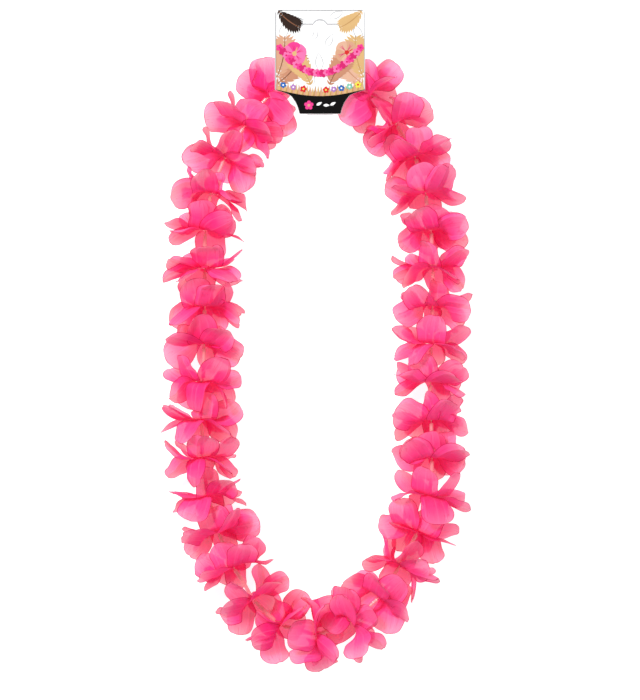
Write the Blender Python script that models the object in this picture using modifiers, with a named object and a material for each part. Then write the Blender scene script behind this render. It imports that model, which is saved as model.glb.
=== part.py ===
"""Flower lei: a closed string of fabric flowers and spacer tubes, laid flat, with its hang card.

Units are metres. The loop lies in the XY plane with +Z up and the card towards +Y. The origin
is under the middle of the whole object, on the surface that it lies on.
"""
import math
import random

import bmesh
import bpy
from mathutils import Matrix, Quaternion, Vector
from mathutils.bvhtree import BVHTree

OBJECT_NAME = "flower_lei"
SEED = 28

# Route of the string: hand-chosen points from the card, down the left side, round and back.
STRING_ROUTE = (
    (0.0000, 0.2140, 0.0240), (-0.0270, 0.2150, 0.0240), (-0.0480, 0.2060, 0.0235),
    (-0.0630, 0.1860, 0.0225), (-0.0785, 0.1620, 0.0220), (-0.0920, 0.1300, 0.0220),
    (-0.0975, 0.0940, 0.0220), (-0.0980, 0.0560, 0.0220), (-0.0980, 0.0180, 0.0220),
    (-0.0990, -0.0200, 0.0220), (-0.1010, -0.0570, 0.0220), (-0.1005, -0.0930, 0.0220),
    (-0.0955, -0.1280, 0.0220), (-0.0855, -0.1625, 0.0220), (-0.0710, -0.1950, 0.0220),
    (-0.0520, -0.2230, 0.0220), (-0.0280, -0.2420, 0.0220), (0.0000, -0.2470, 0.0220),
    (0.0260, -0.2375, 0.0220), (0.0480, -0.2180, 0.0220), (0.0670, -0.1900, 0.0220),
    (0.0845, -0.1560, 0.0220), (0.0940, -0.1210, 0.0220), (0.0950, -0.0850, 0.0220),
    (0.0940, -0.0480, 0.0220), (0.0940, -0.0110, 0.0220), (0.0955, 0.0270, 0.0220),
    (0.0960, 0.0640, 0.0220), (0.0940, 0.0990, 0.0220), (0.0885, 0.1330, 0.0220),
    (0.0780, 0.1650, 0.0220), (0.0635, 0.1875, 0.0225), (0.0490, 0.2070, 0.0235),
    (0.0270, 0.2155, 0.0240),
)
ROUTE_STEPS = 24

# String and spacer tubes, one of them in the card's fold.
STRING_RADIUS = 0.0006
SPACER_RADIUS = 0.0017
SPACER_END_GAP = 0.0032
SPACER_STEP = 0.0002
CARD_TUBE = 0.030

# Flowers: how many, the wider gap that the card's tab fills, and each flower's hand-set pose as
# (facing along the string, tilt of its face towards the viewer, cup angles of its front and back
# layers), angles in degrees.
CARD_GAP = 0.088
FLOWER_POSES = (
    (1, 70, 15, -10), (1, 50, 35, -10), (1, 40, 30, -20), (1, 60, 30, -10),
    (-1, -50, 35, -10), (1, 15, 45, -35), (1, 45, 35, -15), (1, 60, 25, -20),
    (1, 20, 45, -30), (-1, -40, 35, -15), (1, 12, 45, -35), (1, 50, 30, -15),
    (1, 60, 25, -20), (-1, -45, 35, -10), (1, 45, 30, -15), (1, 60, 25, -20), (1, 30, 35, -30),
    (-1, 25, 40, -30), (-1, 55, 30, -15), (-1, 50, 35, -10), (1, -45, 35, -15),
    (-1, 15, 45, -35), (-1, 43, 30, -20), (-1, 60, 25, -20), (1, -50, 30, -10),
    (-1, 16, 45, -35), (-1, 43, 35, -20), (-1, 20, 40, -30), (-1, 60, 25, -15),
    (1, -45, 35, -10), (-1, 45, 35, -15), (-1, 55, 30, -15), (-1, 70, 15, -10),
)
HUB_RADIUS = 0.0044
BORE_RADIUS = 0.0016
LAYER_OFFSET = 0.0008

# Petals: two layers of five on each flower, cut from one piece of cloth a layer. A cage row is a
# step along the petal and its half-width there, as a share of the widest.
LAYERS = 2
PETALS_PER_LAYER = 5
PETAL_LENGTH = 0.0310
PETAL_HALF_WIDTH = 0.0137
CLOTH_THICKNESS = 0.00062
ROOT_HALF_WIDTH = 0.0023
BEND_ZONE = 0.5
CARD_BEND_ZONE = 0.22
SPINE_STEPS = 12
CAGE_ROWS = ((4, 0.60), (9, 1.04), (12, 0.44))
CAGE_COLUMNS = (-1.0, 0.0, 1.0)

# Spread of each petal's draw, angles in radians. A petal that touches another one is drawn
# again, a little looser and shorter each try, and stays clear of the flowers within reach.
SPIN_SPREAD = 0.20
LEAN_SPREAD = 0.34
ROLL_SPREAD = 0.40
SWAY_SPREAD = 0.10
TWIST_SPREAD = 0.25
CURL_RANGE = (-0.3, 0.7)
TROUGH_RANGE = (-0.10, 0.28)
LENGTH_SPREAD = 0.06
STARTS = 20
TRIES = 120
LOOSER_EACH_TRY = 0.03
SHORTER_EACH_TRY = 0.0025
SHORTEST = 0.7
CLEARANCE = 0.0005
OWN_CLEARANCE = 0.0001
GUARD_RADIUS = 0.0085
GUARD_DEPTH = 0.0040
GUARD_SIDES = 8
REACH = 3

# How petals meet the surface below: the height where they start to give, and where they rest.
# Petals that point up were laid over in the packing, to a rise in this range.
PRESS_START = 0.0090
PRESS_FLOOR = 0.0004
LOWEST_TIP = 0.0025
TOP_RISE_RANGE = (0.20, 0.60)
CARD_HEADROOM = 0.0100
CARD_MARGIN = 0.0060

# Hang card: outline, tab and euro slot, with its place on the string.
CARD_HALF_WIDTH = 0.0380
CARD_TOP = 0.2812
CARD_SHOULDER = 0.2137
CARD_CORNER = 0.0020
CARD_THICKNESS = 0.0006
CARD_UNDERSIDE = 0.0370
TAB_SIDE = ((0.0268, 0.2098), (0.0226, 0.2057), (0.0195, 0.2002), (0.0174, 0.1932))
SLOT_CENTRE_Y = 0.2657
SLOT_HALF_LENGTH = 0.0159
SLOT_RADIUS = 0.0024
SLOT_EYE_RADIUS = 0.0061
FLAP_HALF_WIDTH = 0.0110
FLAP_ROUTE = (
    (0.1937, 0.0372), (0.1927, 0.0362), (0.1931, 0.0348), (0.2080, 0.0228),
    (0.2115, 0.0216), (0.2165, 0.0216), (0.2200, 0.0228), (0.2370, 0.0358), (0.2405, 0.0369),
    (0.2520, 0.0369),
)

CORNER_STEPS = 3
SLOT_END_STEPS = 4
SLOT_EYE_STEPS = 6
WELD_DISTANCE = 1e-6

FABRIC_COLOUR = (0.90, 0.10, 0.28, 1.0)
FABRIC_ROUGHNESS = 0.7
SPACER_COLOUR = (0.95, 0.62, 0.55, 1.0)
SPACER_ROUGHNESS = 0.35
CARD_COLOUR = (0.90, 0.90, 0.90, 1.0)
CARD_ROUGHNESS = 0.4


def clear_scene():
    for old in list(bpy.data.objects):
        bpy.data.objects.remove(old, do_unlink=True)


def new_collection(name):
    collection = bpy.data.collections.new(name)
    bpy.context.scene.collection.children.link(collection)
    return collection


def principled(name, colour, roughness):
    """A plain Principled material."""
    material = bpy.data.materials.new(name)
    material.use_nodes = True
    shader = material.node_tree.nodes["Principled BSDF"]
    shader.inputs["Base Color"].default_value = colour
    shader.inputs["Roughness"].default_value = roughness
    shader.inputs["Metallic"].default_value = 0.0
    return material


def smooth_step(value):
    value = min(max(value, 0.0), 1.0)
    return value * value * (3.0 - 2.0 * value)


def solid_mesh(source):
    """The evaluated mesh of an object, as a new mesh."""
    graph = bpy.context.evaluated_depsgraph_get()
    return bpy.data.meshes.new_from_object(source.evaluated_get(graph))


# The route of the string


class Route:
    """A closed smooth curve through the route's points, read by distance along it."""

    def __init__(self, corners):
        knots = [Vector(corner) for corner in corners]
        count = len(knots)
        self.points = []
        for i in range(count):
            before, start = knots[i - 1], knots[i]
            end, after = knots[(i + 1) % count], knots[(i + 2) % count]
            for step in range(ROUTE_STEPS):
                self.points.append(self.spline(before, start, end, after, step / ROUTE_STEPS))
        self.points.append(self.points[0].copy())
        self.distances = [0.0]
        for start, end in zip(self.points, self.points[1:]):
            self.distances.append(self.distances[-1] + (end - start).length)
        self.length = self.distances[-1]

    @staticmethod
    def spline(before, start, end, after, t):
        """Catmull-Rom curve between start and end."""
        return 0.5 * (2 * start + (end - before) * t
                      + (2 * before - 5 * start + 4 * end - after) * t ** 2
                      + (3 * start - before - 3 * end + after) * t ** 3)

    def at(self, distance):
        distance %= self.length
        low, high = 0, len(self.distances) - 1
        while high - low > 1:
            middle = (low + high) // 2
            if self.distances[middle] <= distance:
                low = middle
            else:
                high = middle
        span = self.distances[high] - self.distances[low]
        return self.points[low].lerp(self.points[high], (distance - self.distances[low]) / span)

    def direction(self, distance):
        reach = SPACER_END_GAP
        return (self.at(distance + reach) - self.at(distance - reach)).normalized()


def flower_distances(route):
    pitch = (route.length - CARD_GAP) / (len(FLOWER_POSES) - 1)
    return [CARD_GAP / 2 + i * pitch for i in range(len(FLOWER_POSES))]


def make_string(route, collection):
    """The string with a spacer tube between each two flowers, as one bevelled curve."""
    stops = [CARD_TUBE / 2] + flower_distances(route) + [route.length - CARD_TUBE / 2]
    stations = []
    for stop, following in zip(stops, stops[1:] + [stops[0] + route.length]):
        start, end = stop + SPACER_END_GAP, following - SPACER_END_GAP
        stations += [(start - SPACER_STEP, STRING_RADIUS), (start, SPACER_RADIUS),
                     (end, SPACER_RADIUS), (end + SPACER_STEP, STRING_RADIUS)]
    curve = bpy.data.curves.new("string_with_spacers", "CURVE")
    curve.dimensions = "3D"
    curve.bevel_depth = 1.0
    curve.bevel_resolution = 1
    spline = curve.splines.new("POLY")
    spline.points.add(len(stations) - 1)
    for point, (distance, radius) in zip(spline.points, stations):
        point.co = (*route.at(distance), 1.0)
        point.radius = radius
    spline.use_cyclic_u = True
    guide = bpy.data.objects.new("string_route", curve)
    collection.objects.link(guide)
    string = bpy.data.objects.new("string_with_spacers", solid_mesh(guide))
    bpy.data.objects.remove(guide, do_unlink=True)
    collection.objects.link(string)
    return string


# Petals


class Flower:
    """One flower's place and pose on the string."""

    def __init__(self, number, route, distance, pose):
        facing, tilt, *cups = pose
        self.number = number
        self.hub = route.at(distance)
        self.axis = route.direction(distance) * facing
        self.up = Vector((0.0, 0.0, 1.0))
        self.side = self.up.cross(self.axis).normalized()
        self.up = self.axis.cross(self.side).normalized()
        self.tilt = Quaternion(self.side, -math.radians(tilt))
        self.cups = [math.radians(cup) for cup in cups]
        self.spin = self.centred_spin(1 if tilt > 0 else 0)

    def centred_spin(self, layer):
        """A turn that brings a petal of one layer roughly over the string."""
        draw = random.Random(f"{SEED} spin {self.number}")
        return math.pi / 2 - math.pi / PETALS_PER_LAYER * layer + draw.gauss(0.0, SPIN_SPREAD)


def petal_direction(flower, layer, index):
    """The way a petal leaves its flower's bore."""
    angle = flower.spin + math.tau * (index + 0.5 * layer) / PETALS_PER_LAYER
    return math.cos(angle) * flower.side + math.sin(angle) * flower.up


def under_card(point):
    """Whether a point is below the hang card or close beside it."""
    return (abs(point.x) < CARD_HALF_WIDTH + CARD_MARGIN
            and TAB_SIDE[-1][1] - CARD_MARGIN < point.y < CARD_TOP)


def over_card(cage):
    """Whether a petal lies over the hang card's panel."""
    return any(abs(point.x) < CARD_HALF_WIDTH and CARD_SHOULDER < point.y < CARD_TOP
               and point.z > CARD_UNDERSIDE for line in cage for point in line)


class Petal:
    """One petal's draw: where it leaves the hub, how it turns, curls and twists."""

    def __init__(self, flower, layer, index, start, attempt):
        draw = random.Random(f"{SEED} petal {flower.number} {layer} {index} {start} {attempt}")
        looser = 1.0 + attempt * LOOSER_EACH_TRY
        self.outward = petal_direction(flower, layer, index)
        self.around = flower.axis.cross(self.outward).normalized()
        self.axis = flower.axis
        lean = flower.cups[layer] + draw.gauss(0.0, LEAN_SPREAD) * looser
        roll = draw.gauss(0.0, ROLL_SPREAD) * looser
        sway = draw.gauss(0.0, SWAY_SPREAD) * looser
        self.twist = draw.gauss(0.0, TWIST_SPREAD)
        self.curl = draw.uniform(*CURL_RANGE)
        self.trough = draw.uniform(*TROUGH_RANGE)
        shorter = max(SHORTEST, 1.0 - attempt * SHORTER_EACH_TRY)
        size = shorter * (1.0 + draw.uniform(-LENGTH_SPREAD, LENGTH_SPREAD))
        self.length = PETAL_LENGTH * size
        self.half_width = PETAL_HALF_WIDTH * size
        offset = -LAYER_OFFSET if layer else LAYER_OFFSET
        self.root = flower.hub + self.axis * offset + self.outward * HUB_RADIUS
        turn = (flower.tilt @ Quaternion(self.axis, sway)
                @ Quaternion(self.around, -lean) @ Quaternion(self.outward, roll))
        self.bend_zone = BEND_ZONE
        self.top_rise = draw.uniform(*TOP_RISE_RANGE)
        self.turn = self.clear_of_surface(turn, flower.hub)

    def clear_of_surface(self, turn, hub):
        """Swing a petal until its tip stays above the surface, and low enough or under the card."""
        way = turn @ self.outward
        lowest = (LOWEST_TIP - hub.z) / self.length
        highest = (CARD_UNDERSIDE - CARD_HEADROOM - hub.z) / self.length
        tip = self.root + way * self.length
        if way.z < lowest:
            return self.laid_at(lowest, way) @ turn
        if way.z > highest and under_card(tip):
            self.bend_zone = CARD_BEND_ZONE
            return self.laid_at(highest, way) @ turn
        if way.z > self.top_rise:
            return self.laid_at(self.top_rise, way) @ turn
        return turn

    @staticmethod
    def laid_at(rise, way):
        """The rotation that brings a direction to a given rise."""
        level = math.sqrt(1.0 - rise ** 2) / math.hypot(way.x, way.y)
        return way.rotation_difference(Vector((way.x * level, way.y * level, rise)))

    def spine(self):
        """Points and frames along the petal's middle, from inside the hub to its tip."""
        rows = []
        point = self.root.copy()
        step = self.length / SPINE_STEPS
        still = Quaternion()
        for k in range(SPINE_STEPS + 1):
            v = k / SPINE_STEPS
            frame = (still.slerp(self.turn, smooth_step(v / self.bend_zone))
                     @ Quaternion(self.around, -self.curl * v * v)
                     @ Quaternion(self.outward, self.twist * v))
            along = frame @ self.outward
            rows.append((point.copy(), frame @ self.around, frame @ self.axis, v))
            point += along * step
        return rows

    def cage(self):
        """Rows of points on the petal's middle surface: two root corners, then three a row."""
        spine = self.spine()
        grid = [[self.root + self.around * side for side in (-ROOT_HALF_WIDTH, ROOT_HALF_WIDTH)]]
        for step, share in CAGE_ROWS:
            point, across, normal, v = spine[step]
            half = self.half_width * share
            line = []
            for u in CAGE_COLUMNS:
                rise = self.trough * (u * u - 1.0 / 3.0) * half * smooth_step(v / BEND_ZONE)
                line.append(pressed(point + across * (u * half) + normal * rise))
            grid.append(line)
        return grid


def pressed(point):
    """Flatten a low point towards the surface, never below it."""
    drop = (PRESS_START - point.z) / (PRESS_START - PRESS_FLOOR)
    if drop <= 0.0:
        return point
    share = drop - drop * drop / 4.0 if drop < 2.0 else 1.0
    return Vector((point.x, point.y, PRESS_START - share * (PRESS_START - PRESS_FLOOR)))


def strip_faces(inner, outer):
    """Triangles between two rows of point numbers, mirrored about the middle."""
    if len(inner) == 2:
        return [(inner[0], outer[0], outer[1]), (inner[0], outer[1], inner[1]),
                (inner[1], outer[1], outer[2])]
    return [(inner[0], outer[0], inner[1]), (outer[0], outer[1], inner[1]),
            (inner[1], outer[1], outer[2]), (inner[1], outer[2], inner[2])]


def sheet_faces(cage, first=0):
    """Triangles of a petal whose points are numbered row by row from first."""
    faces = []
    numbered = []
    for line in cage:
        numbered.append(list(range(first, first + len(line))))
        first += len(line)
    for inner, outer in zip(numbered, numbered[1:]):
        faces += strip_faces(inner, outer)
    return faces


def shell_tree(cage, half):
    """Search tree of a petal thickened by half on each side."""
    points = [point for line in cage for point in line]
    faces = sheet_faces(cage)
    normals = [Vector() for _ in points]
    edges = {}
    for a, b, c in faces:
        normal = (points[b] - points[a]).cross(points[c] - points[a])
        for corner in (a, b, c):
            normals[corner] += normal
        for edge in ((a, b), (b, c), (c, a)):
            if edge[::-1] in edges:
                del edges[edge[::-1]]
            else:
                edges[edge] = True
    count = len(points)
    upper = [point + normal.normalized() * half for point, normal in zip(points, normals)]
    lower = [point - normal.normalized() * half for point, normal in zip(points, normals)]
    shell = faces + [(c + count, b + count, a + count) for a, b, c in faces]
    for a, b in edges:
        shell += [(b, a, a + count), (b, a + count, b + count)]
    return BVHTree.FromPolygons(upper + lower, shell)


def guard_tree(flower):
    """Search tree of the short drum round a hub that other flowers' petals stay out of."""
    shape = bmesh.new()
    bmesh.ops.create_cone(shape, cap_ends=True, segments=GUARD_SIDES, radius1=GUARD_RADIUS,
                          radius2=GUARD_RADIUS, depth=GUARD_DEPTH)
    frame = flower.axis.to_track_quat("Z", "Y").to_matrix().to_4x4()
    frame.translation = flower.hub
    shape.transform(frame)
    tree = BVHTree.FromBMesh(shape)
    shape.free()
    return tree


class Neighbours:
    """What a new petal has to stay clear of."""

    def __init__(self, flowers, fixed):
        self.fixed = fixed
        self.count = len(flowers)
        self.guards = [(flower.number, guard_tree(flower)) for flower in flowers]
        self.petals = []

    def apart(self, first, second):
        """How many flowers apart two flowers are along the loop."""
        return min((first - second) % self.count, (second - first) % self.count)

    def blocked(self, flower, cage):
        wide = shell_tree(cage, CLOTH_THICKNESS / 2 + CLEARANCE)
        slim = shell_tree(cage, CLOTH_THICKNESS / 2 + OWN_CLEARANCE)
        if any(wide.overlap(tree) for tree in self.fixed):
            return True
        for number, tree in self.petals:
            apart = self.apart(number, flower.number)
            if apart <= REACH and (wide if apart else slim).overlap(tree):
                return True
        return any(wide.overlap(tree) for number, tree in self.guards
                   if 0 < self.apart(number, flower.number) <= REACH)

    def add(self, flower, cage):
        self.petals.append((flower.number, shell_tree(cage, CLOTH_THICKNESS / 2)))

    def drop(self, count):
        del self.petals[len(self.petals) - count:]


def place_flower(flower, start, neighbours):
    """Draw one flower's petals until each clears what is placed. None if one finds no room."""
    layers = []
    for layer in range(LAYERS):
        cages = []
        for index in range(PETALS_PER_LAYER):
            for attempt in range(TRIES):
                cage = Petal(flower, layer, index, start, attempt).cage()
                if not (over_card(cage) or neighbours.blocked(flower, cage)):
                    neighbours.add(flower, cage)
                    cages.append(cage)
                    break
            else:
                neighbours.drop(layer * PETALS_PER_LAYER + len(cages))
                return None
        layers.append(cages)
    return layers


def place_petals(flowers, fixed):
    """Place every flower's petals, starting a flower again where one finds no room."""
    neighbours = Neighbours(flowers, fixed)
    placed = {}
    for flower in flowers:
        for start in range(STARTS):
            layers = place_flower(flower, start, neighbours)
            if layers:
                placed[flower.number] = layers
                break
        else:
            raise ValueError(f"flower {flower.number} has no room for its petals")
    return placed


def make_flower(flower, layers, collection):
    """One flower: two petal layers round a short bore, one sheet given its thickness."""
    name = f"flower_{flower.number:02d}"
    points, faces, bores = [], [], []
    for layer, cages in enumerate(layers):
        offset = flower.axis * (-LAYER_OFFSET if layer else LAYER_OFFSET)
        bore = []
        for index in range(PETALS_PER_LAYER):
            outward = petal_direction(flower, layer, index)
            bore.append(len(points))
            points.append(flower.hub + offset + outward * BORE_RADIUS)
        roots = []
        for cage in cages:
            first = len(points)
            roots.append((first, first + 1))
            points += [point for line in cage for point in line]
            faces += sheet_faces(cage, first)
        for index, (left, right) in enumerate(roots):
            following = (index + 1) % PETALS_PER_LAYER
            faces += [(bore[index], left, right), (bore[index], right, roots[following][0]),
                      (bore[index], roots[following][0], bore[following])]
        bores.append(bore)
    front, back = bores
    for index in range(PETALS_PER_LAYER):
        following = (index + 1) % PETALS_PER_LAYER
        faces += [(front[index], back[index], front[following]),
                  (front[following], back[index], back[following])]
    mesh = bpy.data.meshes.new(name)
    mesh.from_pydata(points, [], faces)
    shape = bmesh.new()
    shape.from_mesh(mesh)
    bmesh.ops.recalc_face_normals(shape, faces=shape.faces)
    shape.to_mesh(mesh)
    shape.free()
    bloom = bpy.data.objects.new(name, mesh)
    solidify = bloom.modifiers.new("cloth thickness", "SOLIDIFY")
    solidify.thickness = CLOTH_THICKNESS
    solidify.offset = 0.0
    collection.objects.link(bloom)
    return bloom


# Hang card


def arc(centre, radius, start, end, steps):
    """Points on an arc, angles in degrees."""
    points = []
    for step in range(steps + 1):
        angle = math.radians(start + (end - start) * step / steps)
        points.append((centre[0] + radius * math.cos(angle), centre[1] + radius * math.sin(angle)))
    return points


def card_outline():
    """Front panel with two rounded top corners and concave sides down to the tab."""
    right = list(TAB_SIDE)
    left = [(-x, y) for x, y in TAB_SIDE]
    inset_x, inset_y = CARD_HALF_WIDTH - CARD_CORNER, CARD_TOP - CARD_CORNER
    points = [(CARD_HALF_WIDTH, CARD_SHOULDER)]
    points += arc((inset_x, inset_y), CARD_CORNER, 0, 90, CORNER_STEPS)
    points += arc((-inset_x, inset_y), CARD_CORNER, 90, 180, CORNER_STEPS)
    points += [(-CARD_HALF_WIDTH, CARD_SHOULDER)] + left + right[::-1]
    return points


def slot_outline():
    """Euro slot: a long slot with round ends and a round eye in its middle."""
    end = SLOT_HALF_LENGTH - SLOT_RADIUS
    middle = (0.0, SLOT_CENTRE_Y)
    meet = math.degrees(math.asin(SLOT_RADIUS / SLOT_EYE_RADIUS))
    points = arc((end, SLOT_CENTRE_Y), SLOT_RADIUS, -90, 90, SLOT_END_STEPS)
    points += arc(middle, SLOT_EYE_RADIUS, meet, 180 - meet, SLOT_EYE_STEPS)
    points += arc((-end, SLOT_CENTRE_Y), SLOT_RADIUS, 90, 270, SLOT_END_STEPS)
    points += arc(middle, SLOT_EYE_RADIUS, 180 + meet, 360 - meet, SLOT_EYE_STEPS)
    return points


def flat_plate(name, outlines, thickness, collection):
    """A flat extruded outline, its caps welded, lying in XY with its middle at height 0."""
    curve = bpy.data.curves.new(name, "CURVE")
    curve.dimensions = "2D"
    curve.fill_mode = "BOTH"
    curve.extrude = thickness / 2
    for outline in outlines:
        spline = curve.splines.new("POLY")
        spline.points.add(len(outline) - 1)
        for point, (x, y) in zip(spline.points, outline):
            point.co = (x, y, 0.0, 1.0)
        spline.use_cyclic_u = True
    guide = bpy.data.objects.new(name, curve)
    collection.objects.link(guide)
    mesh = solid_mesh(guide)
    bpy.data.objects.remove(guide, do_unlink=True)
    shape = bmesh.new()
    shape.from_mesh(mesh)
    bmesh.ops.remove_doubles(shape, verts=shape.verts, dist=WELD_DISTANCE)
    bmesh.ops.recalc_face_normals(shape, faces=shape.faces)
    shape.to_mesh(mesh)
    shape.free()
    plate = bpy.data.objects.new(name, mesh)
    collection.objects.link(plate)
    return plate


def make_flap(collection):
    """The tab's narrow end: folded back under the string and up to the panel behind it."""
    mesh = bpy.data.meshes.new("card_flap")
    vertices = [(side * FLAP_HALF_WIDTH, y, z) for y, z in FLAP_ROUTE for side in (-1, 1)]
    faces = [(2 * i, 2 * i + 1, 2 * i + 3, 2 * i + 2) for i in range(len(FLAP_ROUTE) - 1)]
    mesh.from_pydata(vertices, [], faces)
    flap = bpy.data.objects.new("card_flap", mesh)
    solidify = flap.modifiers.new("card thickness", "SOLIDIFY")
    solidify.thickness = CARD_THICKNESS
    solidify.offset = 0.0
    solidify.use_even_offset = True
    collection.objects.link(flap)
    return flap


def make_card(collection, cutters):
    """The whole card, one folded piece."""
    outlines = [card_outline(), slot_outline()]
    plate = flat_plate("card_panel", outlines, CARD_THICKNESS, cutters)
    plate.data.transform(Matrix.Translation((0.0, 0.0, CARD_UNDERSIDE + CARD_THICKNESS / 2)))
    flap = make_flap(cutters)
    union = plate.modifiers.new("join flap", "BOOLEAN")
    union.operation = "UNION"
    union.object = flap
    union.solver = "MANIFOLD"
    mesh = solid_mesh(plate)
    for used in (plate, flap):
        bpy.data.objects.remove(used, do_unlink=True)
    card = bpy.data.objects.new("hang_card", mesh)
    collection.objects.link(card)
    return card


def tree_of(source):
    mesh = source.data
    corners = [vertex.co.copy() for vertex in mesh.vertices]
    return BVHTree.FromPolygons(corners, [tuple(face.vertices) for face in mesh.polygons])


def centre_on_origin(pieces):
    """Move every piece so that the whole stands on Z = 0 with its box centred in X and Y."""
    corners = [vertex.co for piece in pieces for vertex in solid_mesh(piece).vertices]
    low = [min(corner[i] for corner in corners) for i in range(3)]
    high = [max(corner[i] for corner in corners) for i in range(3)]
    shift = Vector((-(low[0] + high[0]) / 2, -(low[1] + high[1]) / 2, -low[2]))
    for piece in pieces:
        for vertex in piece.data.vertices:
            vertex.co += shift


def main():
    clear_scene()
    lei = new_collection(OBJECT_NAME)
    cutters = new_collection("cutters")
    route = Route(STRING_ROUTE)
    string = make_string(route, lei)
    card = make_card(lei, cutters)
    distances = flower_distances(route)
    flowers = [Flower(i + 1, route, distances[i], pose) for i, pose in enumerate(FLOWER_POSES)]
    placed = place_petals(flowers, [tree_of(string), tree_of(card)])
    blooms = [make_flower(flower, placed[flower.number], lei) for flower in flowers]
    fabric = principled("petal_fabric", FABRIC_COLOUR, FABRIC_ROUGHNESS)
    for bloom in blooms:
        bloom.data.materials.append(fabric)
    string.data.materials.append(principled("spacer_plastic", SPACER_COLOUR, SPACER_ROUGHNESS))
    card.data.materials.append(principled("header_card", CARD_COLOUR, CARD_ROUGHNESS))
    centre_on_origin(blooms + [string, card])


main()
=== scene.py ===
"""Flower lei with its header card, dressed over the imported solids.

Units are metres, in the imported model's frame: the loop lies in the XY plane, +Z is up and the
card is towards +Y. The flowers' petals are drawn with the same seeded rule as the solids, so each
cloth petal lies where its solid one does.
"""

import bisect
import math
import random

import bmesh
import bpy
from mathutils import Matrix, Quaternion, Vector
from mathutils.bvhtree import BVHTree


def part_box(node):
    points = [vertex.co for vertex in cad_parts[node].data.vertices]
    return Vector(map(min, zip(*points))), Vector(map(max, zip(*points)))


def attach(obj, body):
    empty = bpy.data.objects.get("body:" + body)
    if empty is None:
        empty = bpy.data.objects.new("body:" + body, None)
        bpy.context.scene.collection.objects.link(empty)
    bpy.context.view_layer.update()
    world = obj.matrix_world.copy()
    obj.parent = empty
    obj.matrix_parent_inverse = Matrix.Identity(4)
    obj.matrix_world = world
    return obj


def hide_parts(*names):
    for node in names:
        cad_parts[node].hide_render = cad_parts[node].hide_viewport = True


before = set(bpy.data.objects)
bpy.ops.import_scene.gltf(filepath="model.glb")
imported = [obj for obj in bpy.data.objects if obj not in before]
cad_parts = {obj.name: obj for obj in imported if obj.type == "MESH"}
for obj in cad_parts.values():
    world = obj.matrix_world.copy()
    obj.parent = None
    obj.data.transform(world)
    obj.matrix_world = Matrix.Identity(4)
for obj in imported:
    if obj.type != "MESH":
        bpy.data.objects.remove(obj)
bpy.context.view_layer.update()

SEED = 28
UP = Vector((0.0, 0.0, 1.0))

# Route of the string, as in the solids' design: points listed anticlockwise from the card.
STRING_ROUTE = (
    (0.0000, 0.2140, 0.0240), (-0.0270, 0.2150, 0.0240), (-0.0480, 0.2060, 0.0235),
    (-0.0630, 0.1860, 0.0225), (-0.0785, 0.1620, 0.0220), (-0.0920, 0.1300, 0.0220),
    (-0.0975, 0.0940, 0.0220), (-0.0980, 0.0560, 0.0220), (-0.0980, 0.0180, 0.0220),
    (-0.0990, -0.0200, 0.0220), (-0.1010, -0.0570, 0.0220), (-0.1005, -0.0930, 0.0220),
    (-0.0955, -0.1280, 0.0220), (-0.0855, -0.1625, 0.0220), (-0.0710, -0.1950, 0.0220),
    (-0.0520, -0.2230, 0.0220), (-0.0280, -0.2420, 0.0220), (0.0000, -0.2470, 0.0220),
    (0.0260, -0.2375, 0.0220), (0.0480, -0.2180, 0.0220), (0.0670, -0.1900, 0.0220),
    (0.0845, -0.1560, 0.0220), (0.0940, -0.1210, 0.0220), (0.0950, -0.0850, 0.0220),
    (0.0940, -0.0480, 0.0220), (0.0940, -0.0110, 0.0220), (0.0955, 0.0270, 0.0220),
    (0.0960, 0.0640, 0.0220), (0.0940, 0.0990, 0.0220), (0.0885, 0.1330, 0.0220),
    (0.0780, 0.1650, 0.0220), (0.0635, 0.1875, 0.0225), (0.0490, 0.2070, 0.0235),
    (0.0270, 0.2155, 0.0240),
)
ROUTE_STEPS = 24

# String and spacer tubes.
STRING_RADIUS = 0.0006
SPACER_RADIUS = 0.0017
SPACER_END_GAP = 0.0032
SPACER_STEP = 0.0002
CARD_TUBE = 0.030

# Each flower's facing along the string, tilt towards the viewer, and cup angles of its front and
# back layers, angles in degrees.
CARD_GAP = 0.088
FLOWER_POSES = (
    (1, 70, 15, -10), (1, 50, 35, -10), (1, 40, 30, -20), (1, 60, 30, -10),
    (-1, -50, 35, -10), (1, 15, 45, -35), (1, 45, 35, -15), (1, 60, 25, -20),
    (1, 20, 45, -30), (-1, -40, 35, -15), (1, 12, 45, -35), (1, 50, 30, -15),
    (1, 60, 25, -20), (-1, -45, 35, -10), (1, 45, 30, -15), (1, 60, 25, -20), (1, 30, 35, -30),
    (-1, 25, 40, -30), (-1, 55, 30, -15), (-1, 50, 35, -10), (1, -45, 35, -15),
    (-1, 15, 45, -35), (-1, 43, 30, -20), (-1, 60, 25, -20), (1, -50, 30, -10),
    (-1, 16, 45, -35), (-1, 43, 35, -20), (-1, 20, 40, -30), (-1, 60, 25, -15),
    (1, -45, 35, -10), (-1, 45, 35, -15), (-1, 55, 30, -15), (-1, 70, 15, -10),
)
HUB_RADIUS = 0.0044
BORE_RADIUS = 0.0016
LAYER_OFFSET = 0.0008

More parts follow.
